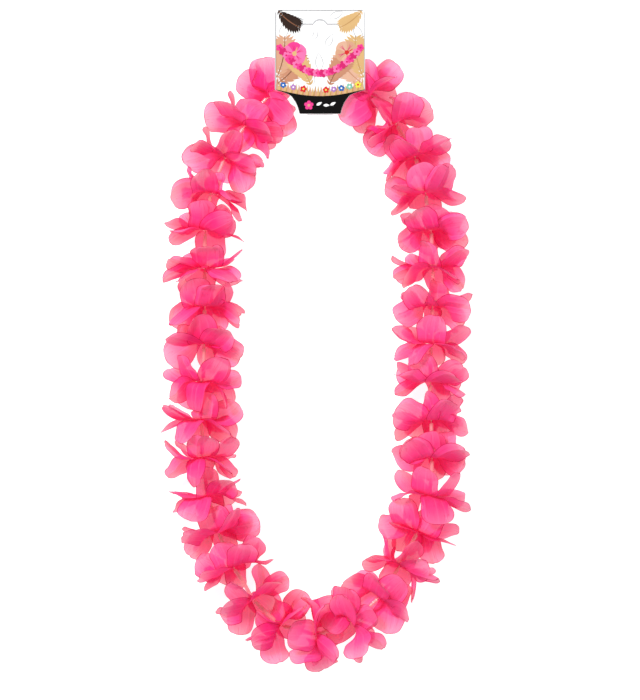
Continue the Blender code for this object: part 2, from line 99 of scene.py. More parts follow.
# The solids' petals: a front and a back layer of five. Each petal is a cage of two root corners
# and three rows of three points, with its faces and rim by the points' numbers. A petal's trough
# is measured from its mean height.
LAYER_SIDES = (1.0, -1.0)
PETALS_PER_LAYER = 5
PETAL_LENGTH = 0.0310
PETAL_HALF_WIDTH = 0.0137
CLOTH_THICKNESS = 0.00062
ROOT_HALF_WIDTH = 0.0023
BEND_ZONE = 0.5
CARD_BEND_ZONE = 0.22
SPINE_STEPS = 12
CAGE_ROWS = ((4, 0.60), (9, 1.04), (12, 0.44))
CAGE_COLUMNS = (-1.0, 0.0, 1.0)
TROUGH_MEAN = 1.0 / 3.0
CAGE_FACES = (
    (0, 2, 3), (0, 3, 1), (1, 3, 4),
    (2, 5, 3), (5, 6, 3), (3, 6, 7), (3, 7, 4),
    (5, 8, 6), (8, 9, 6), (6, 9, 10), (6, 10, 7),
)
CAGE_RIM = (0, 2, 5, 8, 9, 10, 7, 4, 1)

# Spread of each petal's draw, angles in radians, and how a petal that touches another is redrawn.
SPIN_SPREAD = 0.20
LEAN_SPREAD = 0.34
ROLL_SPREAD = 0.40
SWAY_SPREAD = 0.10
TWIST_SPREAD = 0.25
CURL_RANGE = (-0.3, 0.7)
TROUGH_RANGE = (-0.10, 0.28)
LENGTH_SPREAD = 0.06
STARTS = 20
TRIES = 120
LOOSER_EACH_TRY = 0.03
SHORTER_EACH_TRY = 0.0025
SHORTEST = 0.7
CLEARANCE = 0.0005
OWN_CLEARANCE = 0.0001
GUARD_RADIUS = 0.0085
GUARD_DEPTH = 0.0040
GUARD_SIDES = 8
REACH = 3

# How petals meet the surface below, and the card above.
PRESS_START = 0.0090
PRESS_FLOOR = 0.0004
LOWEST_TIP = 0.0025
TOP_RISE_RANGE = (0.20, 0.60)
CARD_HEADROOM = 0.0100
CARD_MARGIN = 0.0060

# Hang card: outline, tab and euro slot, with its place on the string.
CARD_HALF_WIDTH = 0.0380
CARD_TOP = 0.2812
CARD_SHOULDER = 0.2137
CARD_CORNER = 0.0020
CARD_THICKNESS = 0.0006
CARD_UNDERSIDE = 0.0370
TAB_SIDE = ((0.0268, 0.2098), (0.0226, 0.2057), (0.0195, 0.2002), (0.0174, 0.1932))
SLOT_CENTRE_Y = 0.2657
SLOT_HALF_LENGTH = 0.0159
SLOT_RADIUS = 0.0024
SLOT_EYE_RADIUS = 0.0061
FLAP_HALF_WIDTH = 0.0110
FLAP_ROUTE = (
    (0.1937, 0.0372), (0.1927, 0.0362), (0.1931, 0.0348), (0.2080, 0.0228),
    (0.2115, 0.0216), (0.2165, 0.0216), (0.2200, 0.0228), (0.2370, 0.0358), (0.2405, 0.0369),
    (0.2520, 0.0369),
)
WELD_DISTANCE = 1e-6

# Steps of the card's corners, slot ends and slot eye, in the solids and in the scene. Then the
# scene's steps between two points of the tab's side and of the flap.
SOLID_CARD_STEPS = (3, 4, 6)
CARD_STEPS = (8, 10, 16)
TAB_STEPS = 5
FLAP_STEPS = 4

# Cloth petals: rows along, which gather towards the tip, and columns across, which gather towards
# the rim. Then the cut outline, and how the layers close up at the hub.
CLOTH_ROWS = 18
ROW_GATHER = 1.25
CLOTH_COLUMNS = 16
COLUMN_GATHER = 0.8
CLOTH_GROWTH = 1.04
ROOT_OVERLAP = 1.40
WEDGE_BLEND = 6.0
TIP_START = 0.5
TIP_SPAN = 0.52
TIP_POWER = 3.2
TIP_ROUNDING = 0.030
NOTCH_DEPTH = 0.05
NOTCH_POWER = 8
HUB_CLOSING = 0.00065
HUB_CLOSING_ZONE = 0.3

# The uneven cut edge, and ripples near it: depths, turns along the petal and where they set in.
WAVE_RANGE = (0.0, 0.06)
WAVE_ZONE = 0.4
RIPPLE_RANGE = (0.0002, 0.0010)
RIPPLE_TURNS = (0.8, 2.4)
RIPPLE_POWER = 2.5

# Folds pressed into the cloth: how sharp the middle crease is, where each side's fold runs as a
# share of the half-width and how far it turns, and the petals whose tip is bent over.
CREASE_SHARPNESS = (0.1, 1.0)
FOLD_PLACES = (0.35, 0.75)
SMALL_FOLD = 0.20
EDGE_FOLD_SHARE = 0.40
EDGE_FOLD_RANGE = (0.4, 1.1)
FOLD_MARGIN = 1e-6
FOLD_EDGE_ANGLE = 0.22
FLICK_SHARE = 0.45
FLICK_RANGE = (0.2, 0.7)
FLICK_PLACES = (0.68, 0.88)
FLICK_SLANT = 0.10

# Shares of light that pass through the cloth, spread or straight.
CLOTH_GLOW = 0.38
CLOTH_SHEER = 0.10
SHEER_TINT = (1.0, 0.80, 0.82)

# The cloth's colours by reflected light and by light from behind, and how strongly each mark on
# it tints them. The darker tint along the fanned creases is painted shade, the paler tint along
# the pressed folds is a painted highlight, and the paler tip in the reflected pink is a painted
# glow of light through the single layer. The darker rim is the cut edge.
CLOTH_PINKS = ((0.95, 0.012, 0.225), (0.96, 0.130, 0.425))
PINK_TINTS = {
    # Paler tip: a painted glow, as of light through the single layer.
    "tip": (0.35, (0.97, 0.28, 0.50)),
    # Darker fanned creases: painted shade.
    "crease_and_shade": (0.4, (0.90, 0.010, 0.140)),
    # Paler pressed folds: a painted highlight.
    "fold": (0.3, (0.97, 0.24, 0.55)),
    "rim": (0.85, (0.58, 0.010, 0.095)),
}
CLOTH_SALMON = (0.96, 0.05, 0.22)
SALMON_TINTS = {
    "tip": (0.9, (1.0, 0.60, 0.60)),
    # Darker fanned creases: painted shade.
    "crease_and_shade": (0.4, (0.95, 0.02, 0.13)),
    "rim": (0.85, (0.60, 0.02, 0.08)),
}
PETAL_TONE = 0.6
BLOTCH_TONE = 0.4

# Where the marks lie: zones in shares of the petal's length, and widths in decimetres as in the
# cloth's UV maps. The fanned creases' width, for their relief and their painted shade, is a share
# of their noise. Then the scales of the patterns.
UV_SCALE = 10.0
TIP_ZONE = (0.45, 1.0)
STREAK_ZONE = (0.05, 0.3)
STREAK_WIDTH = (0.0, 0.022)
FOLD_ZONE = (0.10, 0.35)
FOLD_WIDTH = (0.0, 0.009)
RIM_WIDTH = (0.0035, 0.0095)
FAN_SCALES = (11.0, 1.1, 90.0)
NOISE_MIDDLE = 0.5
TONE_STEP = 30.0
BLOTCH_SCALE = 9.0
WEAVE_SCALE = 62.0
CRUMPLE_SCALE = 20.0

# Spacer tubes and the two-ply string.
TUBE_TINTS = ((1.0, 0.50, 0.56), (1.0, 0.64, 0.66))
TUBE_CLEAR_TINT = (1.0, 0.86, 0.88)
TUBE_CLEARNESS = 0.52
TUBE_GLOW = 0.35
TUBE_INNER_RADIUS = 0.0013
TUBE_SIDES = 14
TUBE_STEPS = 6
TUBE_BOW = 0.0008
THREAD_TINTS = ((0.85, 0.20, 0.26), (0.95, 0.42, 0.44))
THREAD_STEP = 0.0005
THREAD_PITCH = 0.0040
THREAD_SIDES = 5
PLY_SHARE = 0.55
ROUND_EDGE_ANGLE = math.radians(50)

# What is printed on the card: the inks, then each part of the design, with painted shadow lines
# over the slot's upper edge and along the panel's sides and top. Leaves, fronds and open
# blossoms begin with their place and angle in degrees.
BOARD_TINTS = ((0.74, 0.74, 0.75), (0.78, 0.78, 0.79))
PRINT_MARGIN = 0.0004
PRINT_EDGE = CARD_HALF_WIDTH - PRINT_MARGIN
PRINT_TOP = CARD_TOP - PRINT_MARGIN
INK_SINK = 0.00005
INK_STEP = 0.000002
STROKE_END = 0.35
INKS = {
    "pale_grey_print_and_shadow": ((0.40, 0.41, 0.42), (0.46, 0.46, 0.48)),
    "tan": ((0.42, 0.19, 0.115), (0.48, 0.23, 0.14)),
    "sand": ((0.50, 0.27, 0.17), (0.55, 0.31, 0.20)),
    "peach": ((0.56, 0.33, 0.23), (0.61, 0.37, 0.26)),
    "brown": ((0.16, 0.065, 0.035), (0.21, 0.09, 0.05)),
    "dark_brown": ((0.018, 0.010, 0.008), (0.034, 0.019, 0.014)),
    "gold": ((0.52, 0.33, 0.14), (0.58, 0.38, 0.17)),
    "straw": ((0.38, 0.21, 0.08), (0.45, 0.26, 0.10)),
    "pink": ((0.66, 0.035, 0.20), (0.70, 0.05, 0.24)),
    "deep_pink": ((0.48, 0.015, 0.11), (0.54, 0.02, 0.14)),
    "light_pink": ((0.72, 0.12, 0.31), (0.75, 0.16, 0.35)),
    "red": ((0.50, 0.02, 0.02), (0.56, 0.03, 0.03)),
    "blue": ((0.015, 0.09, 0.34), (0.02, 0.13, 0.42)),
    "violet": ((0.32, 0.14, 0.40), (0.38, 0.19, 0.46)),
    "green": ((0.15, 0.42, 0.31), (0.21, 0.48, 0.36)),
    "yellow": ((0.62, 0.56, 0.05), (0.68, 0.62, 0.09)),
    "white": ((0.78, 0.78, 0.78), (0.74, 0.74, 0.74)),
    "black": ((0.002, 0.002, 0.002), (0.004, 0.003, 0.003)),
}
INK_NAMES = tuple(INKS)
PALE_LEAVES = (
    (-0.0330, 0.2560, 70, 0.0170), (-0.0120, 0.2700, 165, 0.0120), (-0.0050, 0.2560, 75, 0.0090),
    (0.0080, 0.2740, 25, 0.0130), (0.0050, 0.2500, 60, 0.0120), (0.0350, 0.2560, 118, 0.0150),
    (0.0370, 0.2300, 105, 0.0170), (-0.0370, 0.2240, 75, 0.0160), (0.0000, 0.2300, 95, 0.0150),
    (-0.0060, 0.2180, 100, 0.0120), (0.0090, 0.2200, 60, 0.0110), (-0.0200, 0.2640, 60, 0.0110),
)
FRONDS = (
    (-0.0350, 0.2800, -50, 0.0240, 0.5, ("dark_brown", "brown")),
    (0.0350, 0.2800, -130, 0.0240, -0.5, ("gold", "straw")),
    (-0.0360, 0.2190, 34, 0.0330, 0.6, ("tan", "brown")),
    (-0.0365, 0.2240, 66, 0.0360, 0.5, ("sand", "brown")),
    (0.0360, 0.2190, 146, 0.0330, -0.6, ("peach", "tan")),
    (0.0365, 0.2240, 114, 0.0360, -0.5, ("gold", "straw")),
    (-0.0080, 0.2180, 112, 0.0300, 0.5, ("gold", "straw")),
    (0.0080, 0.2180, 68, 0.0300, -0.5, ("tan", "brown")),
)
OPEN_BLOSSOMS = (
    (-0.0215, 0.2440, 24, 0.0105, ("light_pink", "pink", "deep_pink", "gold")),
    (0.0225, 0.2450, -12, 0.0105, ("peach", "sand", "deep_pink", "red")),
)
SMALL_BLOSSOMS = (
    (-0.0310, 0.0026, "blue", "white"), (-0.0225, 0.0025, "violet", "white"),
    (-0.0140, 0.0029, "red", "yellow"), (0.0050, 0.0028, "red", "yellow"),
    (0.0115, 0.0025, "violet", "white"), (0.0180, 0.0027, "blue", "white"),
    (0.0248, 0.0027, "green", "white"), (0.0320, 0.0029, "yellow", "red"),
)

# Outlines of a printed petal and leaf: how far out they are widest, how blunt, and their steps.
PETAL_LOBE = (1.7, 0.7, 14)
LEAF_LOBE = (0.8, 1.0, 12)
PALE_LEAF_WIDTH = 0.42
PALE_LINE = 0.0008
# Widths and steps of the painted shadow lines over the slot's upper edge and along the panel's
# edges.
SLOT_SHADOW_WIDTH = 0.0014
SLOT_SHADOW_STEPS = (8, 4)
PANEL_SHADOW_WIDTH = 0.0009
FROND_BLADES = 11
FROND_BLADE = 0.42
BLADE_SWELL = (0.12, 0.80)
BLADE_WIDTH = 0.30
BLADE_ANGLE = 0.85
RIB_WIDTHS = (0.0020, 0.0009)

# An open blossom's measures, in shares of its radius.
OPEN_PETALS = 5
OPEN_PETAL_WIDTH = 1.05
OPEN_PETAL_SHORTER = 0.04
OPEN_HEART = 0.20
OPEN_HEART_DEPTH = 0.3
VEIN_LEANS = (-0.24, 0.0, 0.24)
VEIN_PLACES = (0.15, 0.35, 0.55, 0.75)
VEIN_WIDTH = 0.035
STAMEN = ((0.0, 0.0), (0.3, 0.05), (0.55, 0.14))
STAMEN_ANGLE = 0.5
STAMEN_WIDTH = 0.09

# Straw and a garland, which repeat their inks, and small blossoms.
STRAW_COUNT = 47
STRAW_REACH = 0.0356
STRAW_HEIGHT = 0.0085
STRAW_SHORTER = 0.2
STRAW_HALF_WIDTH = 0.0014
STRAW_SWAY = 0.0009
STRAW_FOOT = 0.0002
STRAW_INKS = ("sand", "gold", "straw")
GARLAND_COUNT = 25
GARLAND_REACH = 0.0340
GARLAND_LOW = 0.2275
GARLAND_RISE = 0.0215
GARLAND_BLOSSOM = 0.0032
GARLAND_UNEVEN = 0.12
GARLAND_TURN = 2.3
GARLAND_INKS = ("pink", "deep_pink", "light_pink")
BLOSSOM_DEPTH = 0.34
BLOSSOM_POWER = 0.7
HEART_SHARE = 0.3
HEART_DEPTH = 0.1
SMALL_BLOSSOM_RISE = 0.0052
SMALL_BLOSSOM_TURN = 90.0

# The dark band, and the blossom and leaves on the tab.
BAND_DIP = 0.0056
BAND_POWER = 1.3
BAND_POINTS = 33
TAB_MIDDLE_Y = 0.2005
TAB_BLOSSOM = (-0.0094, 0.0040, 0.3)
TAB_LEAVES = ((-0.0030, 0.5), (0.0028, 0.0), (0.0086, 0.5))
TAB_LEAF = (0.0054, 0.0024)

# Studio: the photo's framing is 595 mm high at the flowers' level. Each lamp has its place, size
# and power.
PHOTO_HEIGHT = 0.595
PHOTO_DROP = 0.0055
VIEW_LEVEL = 0.022
LENS = 100.0
SENSOR = 36.0
FLOOR_SIZE = 6.0
FLOOR_GREY = (0.50, 0.50, 0.50)
FLOOR_GLOW = 0.85
WORLD_LIGHT = 0.42
LAMPS = {
    "key": ((-0.9, 0.9, 1.6), 0.5, 44.0),
    "fill": ((1.1, -0.7, 1.5), 1.4, 10.0),
}


def smooth_step(value):
    """Eases from nothing at 0 to one at 1."""
    value = min(max(value, 0.0), 1.0)
    return value * value * (3.0 - 2.0 * value)


def configured(item, **settings):
    """A new Blender item with its settings."""
    for key, value in settings.items():
        setattr(item, key, value)
    return item


def new_object(name, data):
    """A new object in the scene's own collection."""
    piece = bpy.data.objects.new(name, data)
    bpy.context.scene.collection.objects.link(piece)
    return piece


def final_mesh(*guides):
    """The first guide's evaluated mesh. The guides are removed."""
    graph = bpy.context.evaluated_depsgraph_get()
    mesh = bpy.data.meshes.new_from_object(guides[0].evaluated_get(graph))
    for guide in guides:
        bpy.data.objects.remove(guide, do_unlink=True)
    return mesh


def curve_mesh(lines, **settings):
    """Mesh of closed lines, given as their points' places and radii."""
    curve = configured(bpy.data.curves.new("guide", "CURVE"), **settings)
    for line in lines:
        spline = curve.splines.new("POLY")
        spline.points.add(len(line) - 1)
        for point, (place, radius) in zip(spline.points, line):
            point.co = (*place, 1.0)
            point.radius = radius
        spline.use_cyclic_u = True
    return final_mesh(new_object("guide", curve))


# The route of the string


class Route:
    """A closed smooth curve through the route's points, read by distance along it."""

    def __init__(self, corners):
        knots = [Vector(corner) for corner in corners]
        self.points = []
        for i in range(len(knots)):
            near = [knots[(i + k) % len(knots)] for k in (-1, 0, 1, 2)]
            self.points += [spline_point(*near, step / ROUTE_STEPS) for step in range(ROUTE_STEPS)]
        self.points.append(self.points[0])
        self.distances = [0.0]
        for start, end in zip(self.points, self.points[1:]):
            self.distances.append(self.distances[-1] + (end - start).length)
        self.length = self.distances[-1]

    def at(self, distance):
        distance %= self.length
        high = bisect.bisect_right(self.distances, distance, 1, len(self.distances) - 1)
        span = self.distances[high] - self.distances[high - 1]
        share = (distance - self.distances[high - 1]) / span
        return self.points[high - 1].lerp(self.points[high], share)

    def direction(self, distance):
        reach = SPACER_END_GAP
        return (self.at(distance + reach) - self.at(distance - reach)).normalized()


def spline_point(before, start, end, after, t):
    """Catmull-Rom curve between start and end."""
    return 0.5 * (2 * start + (end - before) * t
                  + (2 * before - 5 * start + 4 * end - after) * t ** 2
                  + (3 * start - before - 3 * end + after) * t ** 3)


def flower_distances(route):
    pitch = (route.length - CARD_GAP) / (len(FLOWER_POSES) - 1)
    return [CARD_GAP / 2 + i * pitch for i in range(len(FLOWER_POSES))]


def tube_spans(route):
    """Start and end distance of each spacer tube."""
    stops = [CARD_TUBE / 2] + flower_distances(route) + [route.length - CARD_TUBE / 2]
    return [(stop + SPACER_END_GAP, following - SPACER_END_GAP)
            for stop, following in zip(stops, stops[1:] + [stops[0] + route.length])]


def plain_string(route):
    """The solids' string with its spacers, which petals stay clear of."""
    stations = []
    for start, end in tube_spans(route):
        stations += [(start - SPACER_STEP, STRING_RADIUS), (start, SPACER_RADIUS),
                     (end, SPACER_RADIUS), (end + SPACER_STEP, STRING_RADIUS)]
    line = [(route.at(distance), radius) for distance, radius in stations]
    return curve_mesh([line], dimensions="3D", bevel_depth=1.0, bevel_resolution=1)


# Where each petal lies


class Flower:
    """One flower's place and pose on the string, a petal of its upper layer over the string."""

    def __init__(self, number, route, distance, pose):
        facing, tilt, *cups = pose
        self.number = number
        self.hub = route.at(distance)
        self.axis = route.direction(distance) * facing
        self.side = UP.cross(self.axis).normalized()
        self.up = self.axis.cross(self.side).normalized()
        self.tilt = Quaternion(self.side, -math.radians(tilt))
        self.cups = [math.radians(cup) for cup in cups]
        upper_layer = 1 if tilt > 0 else 0
        drift = random.Random(f"{SEED} spin {number}").gauss(0.0, SPIN_SPREAD)
        self.spin = math.pi / 2 - math.pi / PETALS_PER_LAYER * upper_layer + drift


def under_card(point):
    """Whether a point is below the hang card or close beside it."""
    return (abs(point.x) < CARD_HALF_WIDTH + CARD_MARGIN
            and TAB_SIDE[-1][1] - CARD_MARGIN < point.y < CARD_TOP)


def over_card(cage):
    """Whether a petal lies over the hang card's panel."""
    return any(abs(point.x) < CARD_HALF_WIDTH and CARD_SHOULDER < point.y < CARD_TOP
               and point.z > CARD_UNDERSIDE for line in cage for point in line)


class Petal:
    """One petal's draw: where it leaves the hub, how it turns, curls and twists."""

    def __init__(self, flower, layer, index, start, attempt):
        draw = random.Random(f"{SEED} petal {flower.number} {layer} {index} {start} {attempt}")
        looser = 1.0 + attempt * LOOSER_EACH_TRY
        angle = flower.spin + math.tau * (index + 0.5 * layer) / PETALS_PER_LAYER
        self.outward = math.cos(angle) * flower.side + math.sin(angle) * flower.up
        self.around = flower.axis.cross(self.outward).normalized()
        self.axis = flower.axis
        lean = flower.cups[layer] + draw.gauss(0.0, LEAN_SPREAD) * looser
        roll = draw.gauss(0.0, ROLL_SPREAD) * looser
        sway = draw.gauss(0.0, SWAY_SPREAD) * looser
        self.twist = draw.gauss(0.0, TWIST_SPREAD)
        self.curl = draw.uniform(*CURL_RANGE)
        self.trough = draw.uniform(*TROUGH_RANGE)
        shorter = max(SHORTEST, 1.0 - attempt * SHORTER_EACH_TRY)
        size = shorter * (1.0 + draw.uniform(-LENGTH_SPREAD, LENGTH_SPREAD))
        self.length = PETAL_LENGTH * size
        self.half_width = PETAL_HALF_WIDTH * size
        offset = self.axis * (LAYER_SIDES[layer] * LAYER_OFFSET)
        self.root = flower.hub + offset + self.outward * HUB_RADIUS
        turn = (flower.tilt @ Quaternion(self.axis, sway)
                @ Quaternion(self.around, -lean) @ Quaternion(self.outward, roll))
        self.bend_zone = BEND_ZONE
        self.top_rise = draw.uniform(*TOP_RISE_RANGE)
        self.turn = self.clear_of_surface(turn, flower.hub)
        self.draw = draw

    def clear_of_surface(self, turn, hub):
        """Swing a petal until its tip stays above the surface, and low enough or under the card."""
        way = turn @ self.outward
        lowest = (LOWEST_TIP - hub.z) / self.length
        highest = (CARD_UNDERSIDE - CARD_HEADROOM - hub.z) / self.length
        if way.z < lowest:
            rise = lowest
        elif way.z > highest and under_card(self.root + way * self.length):
            self.bend_zone = CARD_BEND_ZONE
            rise = highest
        elif way.z > self.top_rise:
            rise = self.top_rise
        else:
            return turn
        level = math.sqrt(1.0 - rise ** 2) / math.hypot(way.x, way.y)
        laid = Vector((way.x * level, way.y * level, rise))
        return way.rotation_difference(laid) @ turn

    def spine(self):
        """Points and frames along the petal's middle, from inside the hub to its tip."""
        rows = []
        point = self.root.copy()
        step = self.length / SPINE_STEPS
        for k in range(SPINE_STEPS + 1):
            v = k / SPINE_STEPS
            bent = (Quaternion().slerp(self.turn, smooth_step(v / self.bend_zone))
                    @ Quaternion(self.around, -self.curl * v * v)
                    @ Quaternion(self.outward, self.twist * v))
            rows.append((point.copy(), bent @ self.around, bent @ self.axis))
            along = bent @ self.outward
            point += along * step
        return rows

    def cage(self):
        """Rows of points on the petal's middle surface: two root corners, then three a row."""
        spine = self.spine()
        grid = [[self.root + self.around * side for side in (-ROOT_HALF_WIDTH, ROOT_HALF_WIDTH)]]
        for step, share in CAGE_ROWS:
            point, across, normal = spine[step]
            half = self.half_width * share
            bend = smooth_step(step / SPINE_STEPS / BEND_ZONE)
            line = []
            for u in CAGE_COLUMNS:
                rise = self.trough * (u * u - TROUGH_MEAN) * half * bend
                line.append(pressed(point + across * (u * half) + normal * rise))
            grid.append(line)
        return grid


def pressed(point):
    """Flatten a low point towards the surface, never below it."""
    drop = (PRESS_START - point.z) / (PRESS_START - PRESS_FLOOR)
    if drop <= 0.0:
        return point
    share = drop - drop * drop / 4.0 if drop < 2.0 else 1.0
    return Vector((point.x, point.y, PRESS_START - share * (PRESS_START - PRESS_FLOOR)))


def shell_tree(cage, half):
    """Search tree of a petal thickened by half on each side."""
    points = [point for line in cage for point in line]
    normals = [Vector() for _ in points]
    for a, b, c in CAGE_FACES:
        normal = (points[b] - points[a]).cross(points[c] - points[a])
        for corner in (a, b, c):
            normals[corner] += normal
    count = len(points)
    upper = [point + normal.normalized() * half for point, normal in zip(points, normals)]
    lower = [point - normal.normalized() * half for point, normal in zip(points, normals)]
    shell = [*CAGE_FACES, *((c + count, b + count, a + count) for a, b, c in CAGE_FACES)]
    for a, b in zip(CAGE_RIM, CAGE_RIM[1:] + CAGE_RIM[:1]):
        shell += [(b, a, a + count), (b, a + count, b + count)]
    return BVHTree.FromPolygons(upper + lower, shell)


def guard_tree(flower):
    """Search tree of the short drum round a hub that other flowers' petals stay out of."""
    shape = bmesh.new()
    bmesh.ops.create_cone(shape, cap_ends=True, segments=GUARD_SIDES, radius1=GUARD_RADIUS,
                          radius2=GUARD_RADIUS, depth=GUARD_DEPTH)
    place = flower.axis.to_track_quat("Z", "Y").to_matrix().to_4x4()
    place.translation = flower.hub
    shape.transform(place)
    tree = BVHTree.FromBMesh(shape)
    shape.free()
    return tree


class Neighbours:
    """What a new petal has to stay clear of."""

    def __init__(self, flowers, fixed):
        self.fixed = fixed
        self.count = len(flowers)
        self.guards = [(flower.number, guard_tree(flower)) for flower in flowers]
        self.petals = []

    def apart(self, first, second):
        """How many flowers apart two flowers are along the loop."""
        return min((first - second) % self.count, (second - first) % self.count)

    def blocked(self, flower, cage):
        wide = shell_tree(cage, CLOTH_THICKNESS / 2 + CLEARANCE)
        slim = shell_tree(cage, CLOTH_THICKNESS / 2 + OWN_CLEARANCE)
        if any(wide.overlap(tree) for tree in self.fixed):
            return True
        for number, tree in self.petals:
            apart = self.apart(number, flower.number)
            if apart <= REACH and (wide if apart else slim).overlap(tree):
                return True
        return any(wide.overlap(tree) for number, tree in self.guards
                   if 0 < self.apart(number, flower.number) <= REACH)

    def add(self, flower, cage):
        self.petals.append((flower.number, shell_tree(cage, CLOTH_THICKNESS / 2)))

    def drop(self, count):
        del self.petals[len(self.petals) - count:]


def place_flower(flower, start, neighbours):
    """Draw one flower's petals until each clears what is placed. None if one finds no room."""
    layers = []
    for layer in range(len(LAYER_SIDES)):
        petals = []
        for index in range(PETALS_PER_LAYER):
            for attempt in range(TRIES):
                petal = Petal(flower, layer, index, start, attempt)
                cage = petal.cage()
                if not (over_card(cage) or neighbours.blocked(flower, cage)):
                    neighbours.add(flower, cage)
                    petals.append(petal)
                    break
            else:
                neighbours.drop(layer * PETALS_PER_LAYER + len(petals))
                return None
        layers.append(petals)
    return layers


def place_petals(flowers, fixed):
    """Every flower's petals, starting a flower again where one finds no room."""
    neighbours = Neighbours(flowers, fixed)
    placed = []
    for flower in flowers:
        for start in range(STARTS):
            layers = place_flower(flower, start, neighbours)
            if layers:
                placed.append(layers)
                break
        else:
            raise ValueError(f"flower {flower.number} has no room for its petals")
    return placed


# The folded card, with the solids' few steps or the scene's many


def arc(centre, radius, start, end, steps):
    """Points on an arc, angles in degrees."""
    points = []
    for step in range(steps + 1):
        angle = math.radians(start + (end - start) * step / steps)
        points.append((centre[0] + radius * math.cos(angle), centre[1] + radius * math.sin(angle)))
    return points


def card_outline(tab_side, corner_steps):
    """Front panel with two rounded top corners and concave sides down to the tab."""
    left = [(-x, y) for x, y in tab_side]
    inset_x, inset_y = CARD_HALF_WIDTH - CARD_CORNER, CARD_TOP - CARD_CORNER
    points = [(CARD_HALF_WIDTH, CARD_SHOULDER)]
    points += arc((inset_x, inset_y), CARD_CORNER, 0, 90, corner_steps)
    points += arc((-inset_x, inset_y), CARD_CORNER, 90, 180, corner_steps)
    points += [(-CARD_HALF_WIDTH, CARD_SHOULDER)] + left + list(tab_side)[::-1]
    return points


def slot_outline(end_steps, eye_steps):
    """Euro slot: a long slot with round ends and a round eye in its middle."""
    end = SLOT_HALF_LENGTH - SLOT_RADIUS
    middle = (0.0, SLOT_CENTRE_Y)
    meet = math.degrees(math.asin(SLOT_RADIUS / SLOT_EYE_RADIUS))
    points = arc((end, SLOT_CENTRE_Y), SLOT_RADIUS, -90, 90, end_steps)
    points += arc(middle, SLOT_EYE_RADIUS, meet, 180 - meet, eye_steps)
    points += arc((-end, SLOT_CENTRE_Y), SLOT_RADIUS, 90, 270, end_steps)
    points += arc(middle, SLOT_EYE_RADIUS, 180 + meet, 360 - meet, eye_steps)
    return points


def card_panel(outlines):
    """Mesh of the flat panel with its slot, its caps welded."""
    lines = [[((x, y, 0.0), 1.0) for x, y in outline] for outline in outlines]
    mesh = curve_mesh(lines, dimensions="2D", fill_mode="BOTH", extrude=CARD_THICKNESS / 2)
    shape = bmesh.new()
    shape.from_mesh(mesh)
    bmesh.ops.remove_doubles(shape, verts=shape.verts, dist=WELD_DISTANCE)
    bmesh.ops.recalc_face_normals(shape, faces=shape.faces)
    shape.to_mesh(mesh)
    shape.free()
    mesh.transform(Matrix.Translation((0.0, 0.0, CARD_UNDERSIDE + CARD_THICKNESS / 2)))
    return mesh


def card_flap(route):
    """Mesh of the flap's middle surface along its route."""
    mesh = bpy.data.meshes.new("card_flap")
    vertices = [(side * FLAP_HALF_WIDTH, y, z) for y, z in route for side in (-1, 1)]
    faces = [(i, i + 1, i + 3, i + 2) for i in range(0, 2 * len(route) - 2, 2)]
    mesh.from_pydata(vertices, [], faces)
    return mesh


def folded_card(tab_side, steps, flap_route):
    """The folded card as one mesh, by the steps of its corners, slot ends and slot eye."""
    corner_steps, *slot_steps = steps
    outlines = [card_outline(tab_side, corner_steps), slot_outline(*slot_steps)]
    panel = new_object("card_panel", card_panel(outlines))
    flap = new_object("card_flap", card_flap(flap_route))
    configured(flap.modifiers.new("card thickness", "SOLIDIFY"),
               thickness=CARD_THICKNESS, offset=0.0, use_even_offset=True)
    configured(panel.modifiers.new("join flap", "BOOLEAN"),
               operation="UNION", object=flap, solver="MANIFOLD")
    return final_mesh(panel, flap)


def tree_of(mesh):
    corners = [vertex.co.copy() for vertex in mesh.vertices]
    return BVHTree.FromPolygons(corners, [tuple(face.vertices) for face in mesh.polygons])


route = Route(STRING_ROUTE)
flowers = [Flower(number, route, distance, pose) for number, (distance, pose)
           in enumerate(zip(flower_distances(route), FLOWER_POSES), 1)]
string_mesh = plain_string(route)
card_mesh = folded_card(TAB_SIDE, SOLID_CARD_STEPS, FLAP_ROUTE)
placed = place_petals(flowers, [tree_of(string_mesh), tree_of(card_mesh)])

# The solids were centred on their box after they were placed, so the cloth is moved as they were.
string_corner = [min(vertex.co[i] for vertex in string_mesh.vertices) for i in range(3)]
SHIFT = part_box("string_with_spacers")[0] - Vector(string_corner)


# Cloth petals


def cloth_share(v):
    """Half-width of the cut cloth at v along the petal, as a share of the widest: at its root it
    fills its fifth of the flower, and further out it keeps an even width."""
    reach = HUB_RADIUS + v * PETAL_LENGTH
    wedge = reach * math.tan(math.pi / PETALS_PER_LAYER) * ROOT_OVERLAP / PETAL_HALF_WIDTH
    rise = (1.0 + wedge ** -WEDGE_BLEND) ** (-1.0 / WEDGE_BLEND)
    return rise * math.sqrt(1.0 - max(0.0, (v - TIP_START) / TIP_SPAN) ** TIP_POWER)


def side_columns(fold):
    """Places across one side of a petal, from the middle out, one of them on its fold."""
    half = CLOTH_COLUMNS // 2
    gather = math.pi / 2 * COLUMN_GATHER
    places = [math.sin(gather * i / half) / math.sin(gather) for i in range(half + 1)]
    nearest = min(range(1, half), key=lambda i: abs(places[i] - fold))
    places[nearest] = fold
    return places


class Side:
    """One side of a petal's cloth: a pressed fold, a ripple at the rim and an uneven edge."""

    def __init__(self, draw, calm):
        self.fold = draw.uniform(*FOLD_PLACES)
        self.angle = draw.gauss(0.0, SMALL_FOLD)
        turned_over = draw.random() < EDGE_FOLD_SHARE
        wide = draw.choice((-1, 1)) * draw.uniform(*EDGE_FOLD_RANGE)
        if turned_over and not calm:
            self.angle = wide
        self.ripple, self.wave = (
            (draw.uniform(*depths), draw.uniform(*RIPPLE_TURNS), draw.uniform(0.0, math.tau))
            for depths in (RIPPLE_RANGE, WAVE_RANGE))

    @staticmethod
    def swing(wave, v):
        """Height at v of a wave given by its depth, turns and phase."""
        depth, turns, phase = wave
        return depth * math.sin(math.tau * turns * v + phase)


